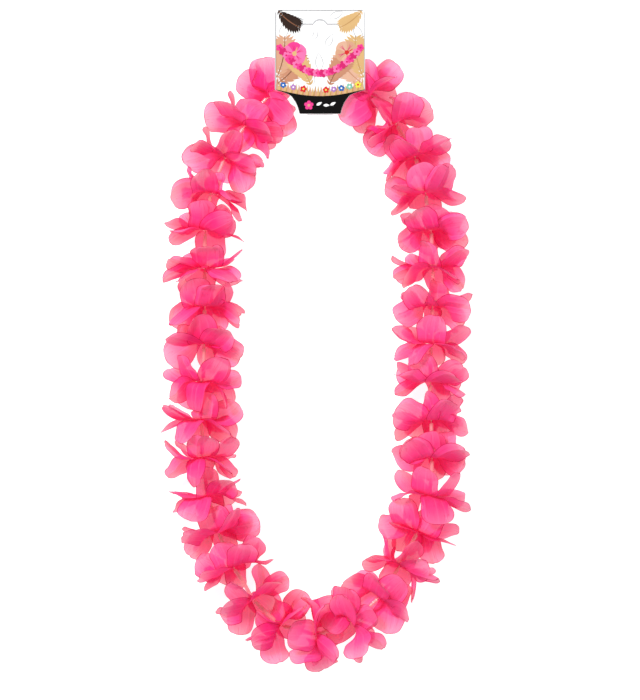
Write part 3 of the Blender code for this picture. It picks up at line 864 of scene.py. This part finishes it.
class Cloth:
    """One petal's cloth, which follows its solid petal and adds folds, ripples and a shade."""

    def __init__(self, petal, closing):
        draw = petal.draw
        calm = petal.bend_zone == CARD_BEND_ZONE
        self.petal = petal
        self.closing = closing
        self.spine = petal.spine()
        self.sharpness = draw.uniform(*CREASE_SHARPNESS)
        self.sides = [Side(draw, calm), Side(draw, calm)]
        left, right = (side_columns(side.fold) for side in self.sides)
        self.columns = [-place for place in left[:0:-1]] + right
        self.flick = draw.choice((-1, 1)) * draw.uniform(*FLICK_RANGE)
        self.flick_line = (draw.uniform(*FLICK_PLACES), draw.uniform(-FLICK_SLANT, FLICK_SLANT))
        if draw.random() > FLICK_SHARE or calm:
            self.flick = 0.0
        self.notch = max(0.0, draw.uniform(-NOTCH_DEPTH, NOTCH_DEPTH))
        self.shade = draw.random()

    def side_at(self, u):
        return self.sides[0 if u < 0.0 else 1]

    def frame_at(self, v):
        """Point, across and normal of the petal's middle, smoothly between the solid's rows."""
        place = v * SPINE_STEPS
        k = min(max(int(place), 0), SPINE_STEPS - 1)
        t = place - k
        here, there = self.spine[k], self.spine[k + 1]
        before = self.spine[k - 1][0] if k else 2 * here[0] - there[0]
        after = self.spine[k + 2][0] if k + 2 <= SPINE_STEPS else 2 * there[0] - here[0]
        across, normal = (here[i].lerp(there[i], t).normalized() for i in (1, 2))
        return spline_point(before, here[0], there[0], after, t), across, normal

    def section(self, v):
        """Place across and height of each column in one row, as shares of the half-width."""
        bend = smooth_step(v / BEND_ZONE)
        trough, sharp = self.petal.trough, self.sharpness
        middle = len(self.columns) // 2
        places = [(0.0, 0.0)] * len(self.columns)
        for side, way in zip(self.sides, (-1, 1)):
            across = height = 0.0
            for k in range(middle, middle + way * middle, way):
                near, far = abs(self.columns[k]), abs(self.columns[k + way])
                slope = trough * (sharp + (1.0 - sharp) * (near + far))
                if near >= side.fold - FOLD_MARGIN:
                    slope += side.angle
                across += (far - near) * math.cos(slope * bend)
                height += (far - near) * math.sin(slope * bend)
                places[k + way] = (way * across, height)
        return [(across, height - trough * bend * TROUGH_MEAN) for across, height in places]

    def row(self, v):
        """The points of one row of bent cloth."""
        closing = self.closing * (1.0 - smooth_step(v / HUB_CLOSING_ZONE))
        points = []
        for u, (share, height) in zip(self.columns, self.section(v)):
            side = self.side_at(u)
            uneven = side.swing(side.wave, v) * abs(u) * smooth_step(v / WAVE_ZONE)
            half = self.petal.half_width * cloth_share(v) * (CLOTH_GROWTH * (1.0 + uneven))
            ripple = side.swing(side.ripple, v) * abs(u) ** RIPPLE_POWER
            rise = height * half + ripple * smooth_step(v / BEND_ZONE)
            cut = TIP_ROUNDING * u * u + self.notch * (1.0 - abs(u)) ** 2
            reach = v * CLOTH_GROWTH - cut * v ** NOTCH_POWER
            point, across, normal = self.frame_at(reach)
            point = point + across * (share * half) + normal * rise
            past = reach - self.flick_line[0] - self.flick_line[1] * u
            if self.flick and past > 0.0:
                ahead = across.cross(normal) * (past * self.petal.length)
                point += Quaternion(across, self.flick) @ ahead - ahead
            points.append(pressed(point + closing))
        return points

    def marks(self, v):
        """Cloth coordinates of one row: place, distance to the rim and to the nearest fold."""
        marks = []
        half = PETAL_HALF_WIDTH * cloth_share(v)
        for u in self.columns:
            rim = min((1.0 - abs(u)) * half, (1.0 - v) * PETAL_LENGTH)
            fold = min(abs(abs(u) - self.side_at(u).fold), abs(u)) * half
            marks.append((u, v, rim, fold, self.shade))
        return marks


def make_bloom(flower, layers):
    """One flower's two layers of cloth round its bore, as one mesh with its cloth coordinates."""
    steps = [1.0 - (1.0 - row / CLOTH_ROWS) ** ROW_GATHER for row in range(CLOTH_ROWS + 1)]
    points, faces, marks = [], [], []
    width = CLOTH_COLUMNS + 1
    root_angle = math.atan2(ROOT_HALF_WIDTH, HUB_RADIUS)
    for layer_side, petals in zip(LAYER_SIDES, layers):
        closing = flower.axis * (-layer_side * HUB_CLOSING)
        middle = flower.hub + flower.axis * (layer_side * LAYER_OFFSET) + closing
        firsts = []
        for petal in petals:
            cloth = Cloth(petal, closing)
            first = len(points)
            firsts.append(first)
            for u in cloth.columns:
                way = Quaternion(flower.axis, root_angle * u) @ petal.outward
                points.append(middle + way * BORE_RADIUS)
                marks.append((u, 0.0, PETAL_HALF_WIDTH, PETAL_HALF_WIDTH, cloth.shade))
            points += [petal.root + petal.around * (u * ROOT_HALF_WIDTH) + closing
                       for u in cloth.columns]
            marks += cloth.marks(steps[0])
            for v in steps[1:]:
                points += cloth.row(v)
                marks += cloth.marks(v)
            for start in range(first, len(points) - width, width):
                faces += [(a, a + 1, a + 1 + width, a + width)
                          for a in range(start, start + width - 1)]
        for here, there in zip(firsts, firsts[1:] + firsts[:1]):
            faces.append((here + width - 1, there, there + width, here + 2 * width - 1))
    mesh = bpy.data.meshes.new(f"bloom_{flower.number:02d}")
    mesh.from_pydata([point + SHIFT for point in points], [], faces)
    mark_cloth(mesh, marks)
    finish_faces(mesh, FOLD_EDGE_ANGLE)
    mesh.materials.append(petal_cloth)
    return new_object(mesh.name, mesh)


def mark_cloth(mesh, marks):
    """UV maps that the cloth's material reads: place on the petal, weave, shade, rim and folds."""
    petal, weave, rims, shades = (mesh.uv_layers.new(name=name)
                                  for name in ("petal", "weave", "rims", "shades"))
    for loop in mesh.loops:
        u, v, rim, fold, shade = marks[loop.vertex_index]
        petal.data[loop.index].uv = (0.5 + 0.5 * u, v)
        weave.data[loop.index].uv = (u * PETAL_HALF_WIDTH * cloth_share(v) * UV_SCALE,
                                     v * PETAL_LENGTH * UV_SCALE)
        rims.data[loop.index].uv = (rim * UV_SCALE, fold * UV_SCALE)
        shades.data[loop.index].uv = (shade, 0.5)


def finish_faces(mesh, sharp_angle):
    """Turn faces the same way and shade them smooth, except across sharp edges."""
    shape = bmesh.new()
    shape.from_mesh(mesh)
    bmesh.ops.recalc_face_normals(shape, faces=shape.faces)
    for face in shape.faces:
        face.smooth = True
    for edge in shape.edges:
        edge.smooth = edge.calc_face_angle(0.0) < sharp_angle
    shape.to_mesh(mesh)
    shape.free()


# Materials


class Nodes:
    """Short calls for one material's node tree. Each adds a node and gives its output."""

    def __init__(self, name):
        self.material = bpy.data.materials.new(name)
        self.material.use_nodes = True
        self.tree = self.material.node_tree
        self.tree.nodes.clear()
        self.surface = self.tree.nodes.new("ShaderNodeOutputMaterial").inputs["Surface"]

    def add(self, kind, inputs, output=0, **settings):
        """Any node, with its settings and its inputs by name or number. A tuple is a colour."""
        node = configured(self.tree.nodes.new("ShaderNode" + kind), **settings)
        for key, value in inputs.items():
            if isinstance(value, bpy.types.NodeSocket):
                self.tree.links.new(value, node.inputs[key])
            elif isinstance(value, tuple):
                node.inputs[key].default_value = (*value, 1.0)
            else:
                node.inputs[key].default_value = value
        return node.outputs[output]

    def math(self, operation, *values, clamp=False):
        return self.add("Math", dict(enumerate(values)), operation=operation, use_clamp=clamp)

    def times(self, value, factor):
        return self.math("MULTIPLY", value, factor)

    def ramp(self, value, zone, ends=(0.0, 1.0)):
        """A value brought smoothly from a zone to its two ends."""
        inputs = {"Value": value, "From Min": zone[0], "From Max": zone[1],
                  "To Min": ends[0], "To Max": ends[1]}
        return self.add("MapRange", inputs, interpolation_type="SMOOTHSTEP")

    def fade(self, value, zone):
        """One before a zone and nothing after it."""
        return self.ramp(value, zone, (1.0, 0.0))

    def mix(self, share, first, second):
        """A colour between two."""
        return self.add("Mix", {0: share, 6: first, 7: second}, 2, data_type="RGBA")

    def tinted(self, colour, tints, marks):
        """A colour with each mark's tint mixed in by its strength."""
        for name, (strength, tint) in tints.items():
            colour = self.mix(self.times(marks[name], strength), colour, tint)
        return colour

    def uv(self, name):
        """The two coordinates of a UV map."""
        place = self.add("UVMap", {}, uv_map=name)
        return self.add("SeparateXYZ", {0: place}).node.outputs[:2]

    def vector(self, x, y, z):
        return self.add("CombineXYZ", {0: x, 1: y, 2: z})

    def place(self):
        """The place in the object."""
        return self.add("TexCoord", {}, "Object")

    def noise(self, vector, scale, detail=2.0):
        return self.add("TexNoise", {"Vector": vector, "Scale": scale, "Detail": detail})

    def bump(self, height, strength, distance, **normal):
        """The surface's normal, tilted by a height, or another normal so tilted."""
        inputs = {"Height": height, "Strength": strength, "Distance": distance, **normal}
        return self.add("Bump", inputs)

    def blend(self, share, first, second):
        """A shader between two."""
        return self.add("MixShader", {0: share, 1: first, 2: second})

    def show(self, shader):
        self.tree.links.new(shader, self.surface)
        return self.material


def cloth_material():
    """Thin woven cloth: pink by reflected light and salmon by light from behind, a little sheer,
    with creases that fan out from the root, darkened by painted shade, pressed folds with a
    painted highlight, a tip paled by a painted glow of light through it, a fine weave and a
    darker cut edge."""
    nodes = Nodes("petal_cloth")
    across, along = nodes.uv("petal")
    rim_distance, fold_distance = nodes.uv("rims")
    tone = nodes.uv("shades")[0]
    cloth = nodes.vector(*nodes.uv("weave"), nodes.times(tone, TONE_STEP))
    fan = nodes.vector(*map(nodes.times, (across, along, tone), FAN_SCALES))
    fanned = nodes.noise(fan, scale=1.0, detail=1.0)
    ridge = nodes.math("ABSOLUTE", nodes.math("SUBTRACT", fanned, NOISE_MIDDLE))
    # Fanned crease lines: their relief, and their darker tint, which is painted shade.
    crease_and_shade = nodes.times(nodes.fade(ridge, STREAK_WIDTH), nodes.ramp(along, STREAK_ZONE))
    # Pressed fold lines, tinted paler in the reflected pink: a painted highlight.
    fold = nodes.times(nodes.fade(fold_distance, FOLD_WIDTH), nodes.ramp(along, FOLD_ZONE))
    rim = nodes.fade(rim_distance, RIM_WIDTH)
    # The tip mark pales the reflected pink: a painted glow of light through the single layer.
    marks = {"tip": nodes.ramp(along, TIP_ZONE), "crease_and_shade": crease_and_shade, "fold": fold, "rim": rim}
    shade = nodes.math("ADD", nodes.times(tone, PETAL_TONE),
                       nodes.times(nodes.noise(cloth, BLOTCH_SCALE), BLOTCH_TONE), clamp=True)
    pink = nodes.tinted(nodes.mix(shade, *CLOTH_PINKS), PINK_TINTS, marks)
    salmon = nodes.tinted(CLOTH_SALMON, SALMON_TINTS, marks)
    warp, weft = (nodes.add("TexWave", {"Vector": cloth, "Scale": WEAVE_SCALE}, 1,
                            bands_direction=way) for way in ("X", "Y"))
    crumple = nodes.noise(cloth, CRUMPLE_SCALE, detail=3.0)
    normal = nodes.bump(nodes.math("ADD", warp, weft), strength=0.20, distance=0.00005)
    normal = nodes.bump(crease_and_shade, strength=0.35, distance=0.0003, Normal=normal)
    normal = nodes.bump(crumple, strength=0.45, distance=0.0008, Normal=normal)
    front = nodes.add("BsdfPrincipled", {
        "Base Color": pink, "Roughness": 0.60, "Specular IOR Level": 0.02, "Sheen Weight": 0.01,
        "Sheen Roughness": 0.40, "Normal": normal})
    through = nodes.add("BsdfTranslucent", {"Color": salmon, "Normal": normal})
    clear = nodes.add("BsdfTransparent", {"Color": SHEER_TINT})
    return nodes.show(nodes.blend(CLOTH_SHEER, nodes.blend(CLOTH_GLOW, front, through), clear))


def tube_material():
    """Thin clear plastic tube, faintly pink, with a soft gloss."""
    nodes = Nodes("tube_plastic")
    place = nodes.place()
    tint = nodes.mix(nodes.noise(place, scale=60.0), *TUBE_TINTS)
    grain = nodes.noise(place, scale=900.0, detail=3.0)
    wall = nodes.add("BsdfPrincipled", {
        "Base Color": tint, "Roughness": 0.22, "Specular IOR Level": 0.65, "Coat Weight": 0.5,
        "Coat Roughness": 0.10, "Normal": nodes.bump(grain, strength=0.15, distance=0.0002)})
    through = nodes.add("BsdfTranslucent", {"Color": tint})
    clear = nodes.add("BsdfTransparent", {"Color": TUBE_CLEAR_TINT})
    return nodes.show(nodes.blend(TUBE_CLEARNESS, nodes.blend(TUBE_GLOW, wall, through), clear))


def thread_material():
    """Spun thread, pink, with fine fibres along it."""
    nodes = Nodes("string_thread")
    fibre = nodes.noise(nodes.place(), scale=2500.0, detail=4.0)
    return nodes.show(nodes.add("BsdfPrincipled", {
        "Base Color": nodes.mix(fibre, *THREAD_TINTS), "Roughness": 0.85, "Sheen Weight": 0.2,
        "Normal": nodes.bump(fibre, strength=0.4, distance=0.0002)}))


def board_material(name, colour, other):
    """Board, or ink on it: two close colours in a faint mottle, with a satin surface."""
    nodes = Nodes(name)
    place = nodes.place()
    mottle = nodes.noise(place, scale=180.0, detail=3.0)
    grain = nodes.noise(place, scale=1500.0, detail=3.0)
    return nodes.show(nodes.add("BsdfPrincipled", {
        "Base Color": nodes.mix(mottle, colour, other), "Roughness": 0.5,
        "Specular IOR Level": 0.05,
        "Normal": nodes.bump(grain, strength=0.12, distance=0.0001)}))


def floor_material():
    """Plain white studio floor, lit a little from within so that the ground stays pale."""
    nodes = Nodes("studio_floor")
    white = nodes.add("BsdfDiffuse", {"Color": FLOOR_GREY})
    light = nodes.add("Emission", {"Strength": FLOOR_GLOW})
    return nodes.show(nodes.add("AddShader", {0: white, 1: light}))


# String and spacer tubes


def ring(centre, side, up, radius, sides):
    """Points of a circle in the plane of two directions."""
    return [centre + radius * (math.cos(angle) * side + math.sin(angle) * up)
            for angle in (math.tau * i / sides for i in range(sides))]


def bridge(faces, first, second, sides):
    """Faces between two rings of points, by their first numbers."""
    for i in range(sides):
        j = (i + 1) % sides
        faces.append((first + i, first + j, second + j, second + i))


def smooth_piece(name, points, faces, material):
    mesh = bpy.data.meshes.new(name)
    mesh.from_pydata([point + SHIFT for point in points], [], faces)
    finish_faces(mesh, ROUND_EDGE_ANGLE)
    mesh.materials.append(material)
    return new_object(name, mesh)


def make_tubes(route):
    """Every spacer as a hollow tube with open ends, slightly bowed."""
    points, faces = [], []
    outside = [(SPACER_RADIUS, step / TUBE_STEPS) for step in range(TUBE_STEPS + 1)]
    inside = [(TUBE_INNER_RADIUS, share) for _, share in outside[::-1]]
    for number, (start, end) in enumerate(tube_spans(route)):
        draw = random.Random(f"{SEED} tube {number}")
        head, tail = route.at(start), route.at(end)
        along = (tail - head).normalized()
        side = along.orthogonal().normalized()
        up = along.cross(side)
        bow = Quaternion(along, draw.uniform(0.0, math.tau)) @ side * draw.uniform(0.0, TUBE_BOW)
        rings = []
        for radius, share in outside + inside:
            centre = head.lerp(tail, share) + bow * math.sin(math.pi * share)
            rings.append(len(points))
            points += ring(centre, side, up, radius, TUBE_SIDES)
        for first, second in zip(rings, rings[1:] + rings[:1]):
            bridge(faces, first, second, TUBE_SIDES)
    return smooth_piece("spacer_tubes", points, faces, tube_material())


def make_thread(route):
    """The closed string: two plies twisted round each other, straight through each tube."""
    stations = []
    for start, end in tube_spans(route):
        stations += [start - SPACER_STEP, end + SPACER_STEP]
    stations.append(stations[0] + route.length)
    places = []
    for start, end in zip(stations, stations[1:]):
        head, tail = route.at(start), route.at(end)
        steps = max(1, round((tail - head).length / THREAD_STEP))
        places += [head.lerp(tail, step / steps) for step in range(steps)]
    turns = round(route.length / THREAD_PITCH)
    points, faces = [], []
    for ply in (0.0, 0.5):
        base = len(points)
        for i, place in enumerate(places):
            along = (places[(i + 1) % len(places)] - places[i - 1]).normalized()
            side = UP.cross(along).normalized()
            up = along.cross(side)
            angle = math.tau * (turns * i / len(places) + ply)
            offset = STRING_RADIUS / 2 * (math.cos(angle) * side + math.sin(angle) * up)
            points += ring(place + offset, side, up, STRING_RADIUS * PLY_SHARE, THREAD_SIDES)
        for i in range(len(places)):
            bridge(faces, base + i * THREAD_SIDES,
                   base + (i + 1) % len(places) * THREAD_SIDES, THREAD_SIDES)
    return smooth_piece("thread", points, faces, thread_material())


# Header card


def smooth_line(corners, steps):
    """Points along a smooth curve through corners, ends included."""
    knots = [Vector(corner) for corner in corners]
    knots = [2 * knots[0] - knots[1]] + knots + [2 * knots[-1] - knots[-2]]
    points = []
    for i in range(1, len(knots) - 2):
        points += [spline_point(*knots[i - 1:i + 3], step / steps) for step in range(steps)]
    return [tuple(point) for point in points + [knots[-2]]]


def card_side():
    """The card's right side from its shoulder down to the tab's foot."""
    return smooth_line(((CARD_HALF_WIDTH, CARD_SHOULDER), *TAB_SIDE), TAB_STEPS)


def make_card():
    """The folded card with its euro slot and smooth edges."""
    mesh = folded_card(card_side()[1:], CARD_STEPS, smooth_line(FLAP_ROUTE, FLAP_STEPS))
    mesh.transform(Matrix.Translation(SHIFT))
    mesh.materials.append(board_material("card_board", *BOARD_TINTS))
    return new_object("header_card", mesh)


class Print:
    """Thin shapes on the card's front, of ink and of painted shadow, each a closed plate a hair
    above the one before.
    """

    def __init__(self):
        self.points, self.faces, self.inks = [], [], []
        self.level = CARD_UNDERSIDE + CARD_THICKNESS

    def plate(self, outline, colour):
        """One shape, given as an outline that goes anticlockwise."""
        count, first = len(outline), len(self.points)
        self.level += INK_STEP
        for height in (CARD_UNDERSIDE + CARD_THICKNESS - INK_SINK, self.level):
            self.points += [Vector((x, y, height)) for x, y in outline]
        self.faces.append(tuple(range(first + count, first + 2 * count)))
        self.faces.append(tuple(range(first + count - 1, first - 1, -1)))
        bridge(self.faces, first, first + count, count)
        self.inks += [INK_NAMES.index(colour)] * (count + 2)

    def ink(self, outline, colour):
        """One shape, kept on the panel."""
        self.plate(kept_on_panel(outline), colour)

    def stroke(self, line, width, colour):
        """A thin line, kept on the panel, that narrows at both ends."""
        knots = [Vector(corner) for corner in kept_on_panel(line)]
        left, right = [], []
        for i, knot in enumerate(knots):
            along = (knots[min(i + 1, len(knots) - 1)] - knots[max(i - 1, 0)]).normalized()
            swell = STROKE_END + (1.0 - STROKE_END) * math.sin(math.pi * i / (len(knots) - 1))
            side = Vector((-along.y, along.x)) * width / 2 * swell
            left.append(tuple(knot + side))
            right.append(tuple(knot - side))
        self.plate(right + left[::-1], colour)

    def blossom(self, centre, radius, angle, colour, heart):
        """A small round-petalled blossom with its heart."""
        for size, depth, shade in ((radius, BLOSSOM_DEPTH, colour),
                                   (radius * HEART_SHARE, HEART_DEPTH, heart)):
            self.ink(turned(blossom_shape(size, depth), centre, angle), shade)

    def finish(self):
        mesh = bpy.data.meshes.new("card_print")
        mesh.from_pydata([point + SHIFT for point in self.points], [], self.faces)
        for colour in INK_NAMES:
            mesh.materials.append(board_material(f"ink_{colour}", *INKS[colour]))
        mesh.polygons.foreach_set("material_index", self.inks)
        return new_object("card_print", mesh)


def kept_on_panel(points):
    """Points pulled back inside the panel's edges."""
    return [(min(max(x, -PRINT_EDGE), PRINT_EDGE), min(y, PRINT_TOP)) for x, y in points]


def turned(points, centre, angle):
    """Points turned about the origin and moved to a centre."""
    cosine, sine = math.cos(angle), math.sin(angle)
    return [(centre[0] + x * cosine - y * sine, centre[1] + x * sine + y * cosine)
            for x, y in points]


def spread(count):
    """Evenly spaced shares from -1 to 1."""
    return [2.0 * i / (count - 1) - 1.0 for i in range(count)]


def lobe(length, width, lean, bluntness, steps):
    """Outline of a petal or leaf, from its foot along +X."""
    lower = [(length * t, -width / 2 * math.sin(math.pi * t ** lean) ** bluntness)
             for t in (i / steps for i in range(steps + 1))]
    return lower + [(x, -y) for x, y in lower[-2:0:-1]]


def blossom_shape(radius, depth, petals=5, steps=8):
    """Round-petalled blossom, its petals parted by notches of a depth."""
    points = []
    for i in range(petals * steps):
        angle = math.tau * i / (petals * steps)
        swell = abs(math.cos(petals * angle / 2)) ** BLOSSOM_POWER
        reach = radius * (1.0 - depth + depth * swell)
        points.append((reach * math.cos(angle), reach * math.sin(angle)))
    return points


def band_height(x):
    """Height on the card of the dark band's curved upper edge."""
    return CARD_SHOULDER - BAND_DIP * (1.0 - (x / CARD_HALF_WIDTH) ** 2) ** BAND_POWER


def draw_pale_leaf(art, foot, angle, length):
    """A leaf's outline, in two strokes that meet at its tip."""
    outline = turned(lobe(length, length * PALE_LEAF_WIDTH, *LEAF_LOBE), foot, angle)
    tip = len(outline) // 2
    art.stroke(outline[:tip + 1], PALE_LINE, "pale_grey_print_and_shadow")
    art.stroke(outline[tip:] + outline[:1], PALE_LINE, "pale_grey_print_and_shadow")


def draw_frond(art, foot, angle, length, bend, colours):
    """A palm frond: narrow blades in pairs along a curved rib."""
    rib = [(0.0, 0.0)]
    step = length / FROND_BLADES
    start, swell = BLADE_SWELL
    for i in range(FROND_BLADES):
        way = bend * i / FROND_BLADES
        x, y = rib[-1]
        rib.append((x + step * math.cos(way), y + step * math.sin(way)))
        size = FROND_BLADE * length * math.sin(math.pi * (start + swell * i / FROND_BLADES))
        for side in (-1, 1):
            blade = turned(lobe(size, size * BLADE_WIDTH, *LEAF_LOBE), (x, y),
                           way + side * BLADE_ANGLE)
            art.ink(turned(blade, foot, angle), colours[0])
    for width, colour in zip(RIB_WIDTHS, colours):
        art.stroke(turned(rib, foot, angle), width, colour)


def draw_slot_shadow(art):
    """A painted shadow: a grey line over the upper edge of the euro slot and its eye."""
    centre_y = SLOT_CENTRE_Y + 2 * PRINT_MARGIN
    eye_steps, end_steps = SLOT_SHADOW_STEPS
    meet = math.degrees(math.asin(SLOT_RADIUS / SLOT_EYE_RADIUS))
    right = arc((0.0, centre_y), SLOT_EYE_RADIUS, 90, meet, eye_steps)
    right += arc((SLOT_HALF_LENGTH - SLOT_RADIUS, centre_y), SLOT_RADIUS, 90, 0, end_steps)
    art.stroke([(-x, y) for x, y in right[:0:-1]] + right, SLOT_SHADOW_WIDTH, "pale_grey_print_and_shadow")


def draw_open_blossom(art, centre, radius, angle, colours):
    """A large open blossom with veined petals and a long stamen."""
    *petal_colours, vein, heart = colours
    for i in range(OPEN_PETALS):
        way = angle + math.tau * i / OPEN_PETALS
        length = radius * (1.0 - OPEN_PETAL_SHORTER * (i % 2))
        petal = turned(lobe(length, radius * OPEN_PETAL_WIDTH, *PETAL_LOBE), centre, way)
        art.ink(petal, petal_colours[i % len(petal_colours)])
        for lean in VEIN_LEANS:
            line = [(radius * t, radius * lean * t * t) for t in VEIN_PLACES]
            art.stroke(turned(line, centre, way), radius * VEIN_WIDTH, vein)
    art.ink(turned(blossom_shape(radius * OPEN_HEART, OPEN_HEART_DEPTH), centre, angle), heart)
    stamen = [(radius * x, radius * y) for x, y in STAMEN]
    art.stroke(turned(stamen, centre, angle + STAMEN_ANGLE), radius * STAMEN_WIDTH, heart)


def draw_straw(art):
    """A hem of straw that stands on the dark band."""
    for i, share in enumerate(spread(STRAW_COUNT)):
        x = share * STRAW_REACH
        foot = band_height(x) + STRAW_FOOT
        tip = (x + STRAW_SWAY * (i % 3 - 1), foot + STRAW_HEIGHT * (1.0 - STRAW_SHORTER * (i % 2)))
        outline = [(x - STRAW_HALF_WIDTH, foot), (x + STRAW_HALF_WIDTH, foot), tip]
        art.ink(outline, STRAW_INKS[i % 3])


def draw_garland(art):
    """A hanging row of pink blossoms."""
    for i, share in enumerate(spread(GARLAND_COUNT)):
        centre = (GARLAND_REACH * share, GARLAND_LOW + GARLAND_RISE * share ** 2)
        art.blossom(centre, GARLAND_BLOSSOM * (1.0 + GARLAND_UNEVEN * (i % 2)), i * GARLAND_TURN,
                    GARLAND_INKS[i % 3], "deep_pink")


def draw_panel_shadow_lines(art):
    """Painted shadow: grey lines along the panel's sides and top. A doubled end keeps a line's
    width up to there.
    """
    low, high = CARD_SHOULDER + PRINT_MARGIN, PRINT_TOP - CARD_CORNER
    inset = PRINT_EDGE - CARD_CORNER
    for start, end in (((-PRINT_EDGE, low), (-PRINT_EDGE, high)),
                       ((PRINT_EDGE, low), (PRINT_EDGE, high)),
                       ((-inset, PRINT_TOP), (inset, PRINT_TOP))):
        art.stroke([start, start, end, end], PANEL_SHADOW_WIDTH, "pale_grey_print_and_shadow")


def draw_tab(art):
    """The dark band down to the tab's foot, with a blossom and three leaves."""
    side = [(x - PRINT_MARGIN, y) for x, y in card_side()]
    side[-1] = (side[-1][0], side[-1][1] + PRINT_MARGIN)
    top = [(x, band_height(x)) for x in (PRINT_EDGE * share for share in spread(BAND_POINTS)[1:-1])]
    art.ink([(-x, y) for x, y in side] + side[::-1] + top[::-1], "black")
    x, radius, angle = TAB_BLOSSOM
    art.blossom((x, TAB_MIDDLE_Y), radius, angle, "pink", "sand")
    for x, angle in TAB_LEAVES:
        art.ink(turned(lobe(*TAB_LEAF, *LEAF_LOBE), (x, TAB_MIDDLE_Y), angle), "white")


def make_print():
    """A generic tropical design: pale leaf lines, fronds, two open blossoms, a straw hem, a pink
    garland, small blossoms, and a dark band over the tab, with painted shadow lines over the
    slot's upper edge and along the panel's sides and top."""
    art = Print()
    for x, y, angle, length in PALE_LEAVES:
        draw_pale_leaf(art, (x, y), math.radians(angle), length)
    for x, y, angle, length, bend, colours in FRONDS:
        draw_frond(art, (x, y), math.radians(angle), length, bend, colours)
    # Painted shadow over the slot's upper edge.
    draw_slot_shadow(art)
    for x, y, angle, radius, colours in OPEN_BLOSSOMS:
        draw_open_blossom(art, (x, y), radius, math.radians(angle), colours)
    draw_straw(art)
    draw_garland(art)
    for x, size, colour, heart in SMALL_BLOSSOMS:
        art.blossom((x, band_height(x) + SMALL_BLOSSOM_RISE), size, x * SMALL_BLOSSOM_TURN,
                    colour, heart)
    # Painted shadow lines along the panel's sides and top.
    draw_panel_shadow_lines(art)
    draw_tab(art)
    return art.finish()


# Studio


def area_light(name, place, size, power):
    """A soft round light that faces the object."""
    data = configured(bpy.data.lights.new(name, "AREA"), shape="DISK", size=size, energy=power)
    lamp = new_object(name, data)
    lamp.location = place
    lamp.rotation_euler = (-Vector(place)).to_track_quat("-Z", "Y").to_euler()


def set_studio():
    """Pale floor, soft light all round, and a long lens straight above."""
    scene = bpy.context.scene
    scene.view_settings.view_transform = "Standard"
    scene.world = bpy.data.worlds.new("studio")
    scene.world.use_nodes = True
    background = scene.world.node_tree.nodes["Background"]
    background.inputs["Color"].default_value = (1.0, 1.0, 1.0, 1.0)
    background.inputs["Strength"].default_value = WORLD_LIGHT
    for name, (place, size, power) in LAMPS.items():
        area_light(name, place, size, power)
    bpy.ops.mesh.primitive_plane_add(size=FLOOR_SIZE)
    floor = bpy.context.object
    floor.name = "floor"
    floor.data.materials.append(floor_material())
    lens = configured(bpy.data.cameras.new("camera"), lens=LENS, sensor_width=SENSOR)
    camera = new_object("camera", lens)
    camera.location = (SHIFT.x, SHIFT.y - PHOTO_DROP, VIEW_LEVEL + PHOTO_HEIGHT * LENS / SENSOR)
    scene.camera = camera


def dress(piece, node):
    """A piece stands in for its solid and rides with the whole lei."""
    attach(piece, "root")
    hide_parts(node)


petal_cloth = cloth_material()
for flower, layers in zip(flowers, placed):
    dress(make_bloom(flower, layers), f"flower_{flower.number:02d}")
dress(make_tubes(route), "string_with_spacers")
dress(make_thread(route), "string_with_spacers")
dress(make_card(), "hang_card")
dress(make_print(), "hang_card")
set_studio()
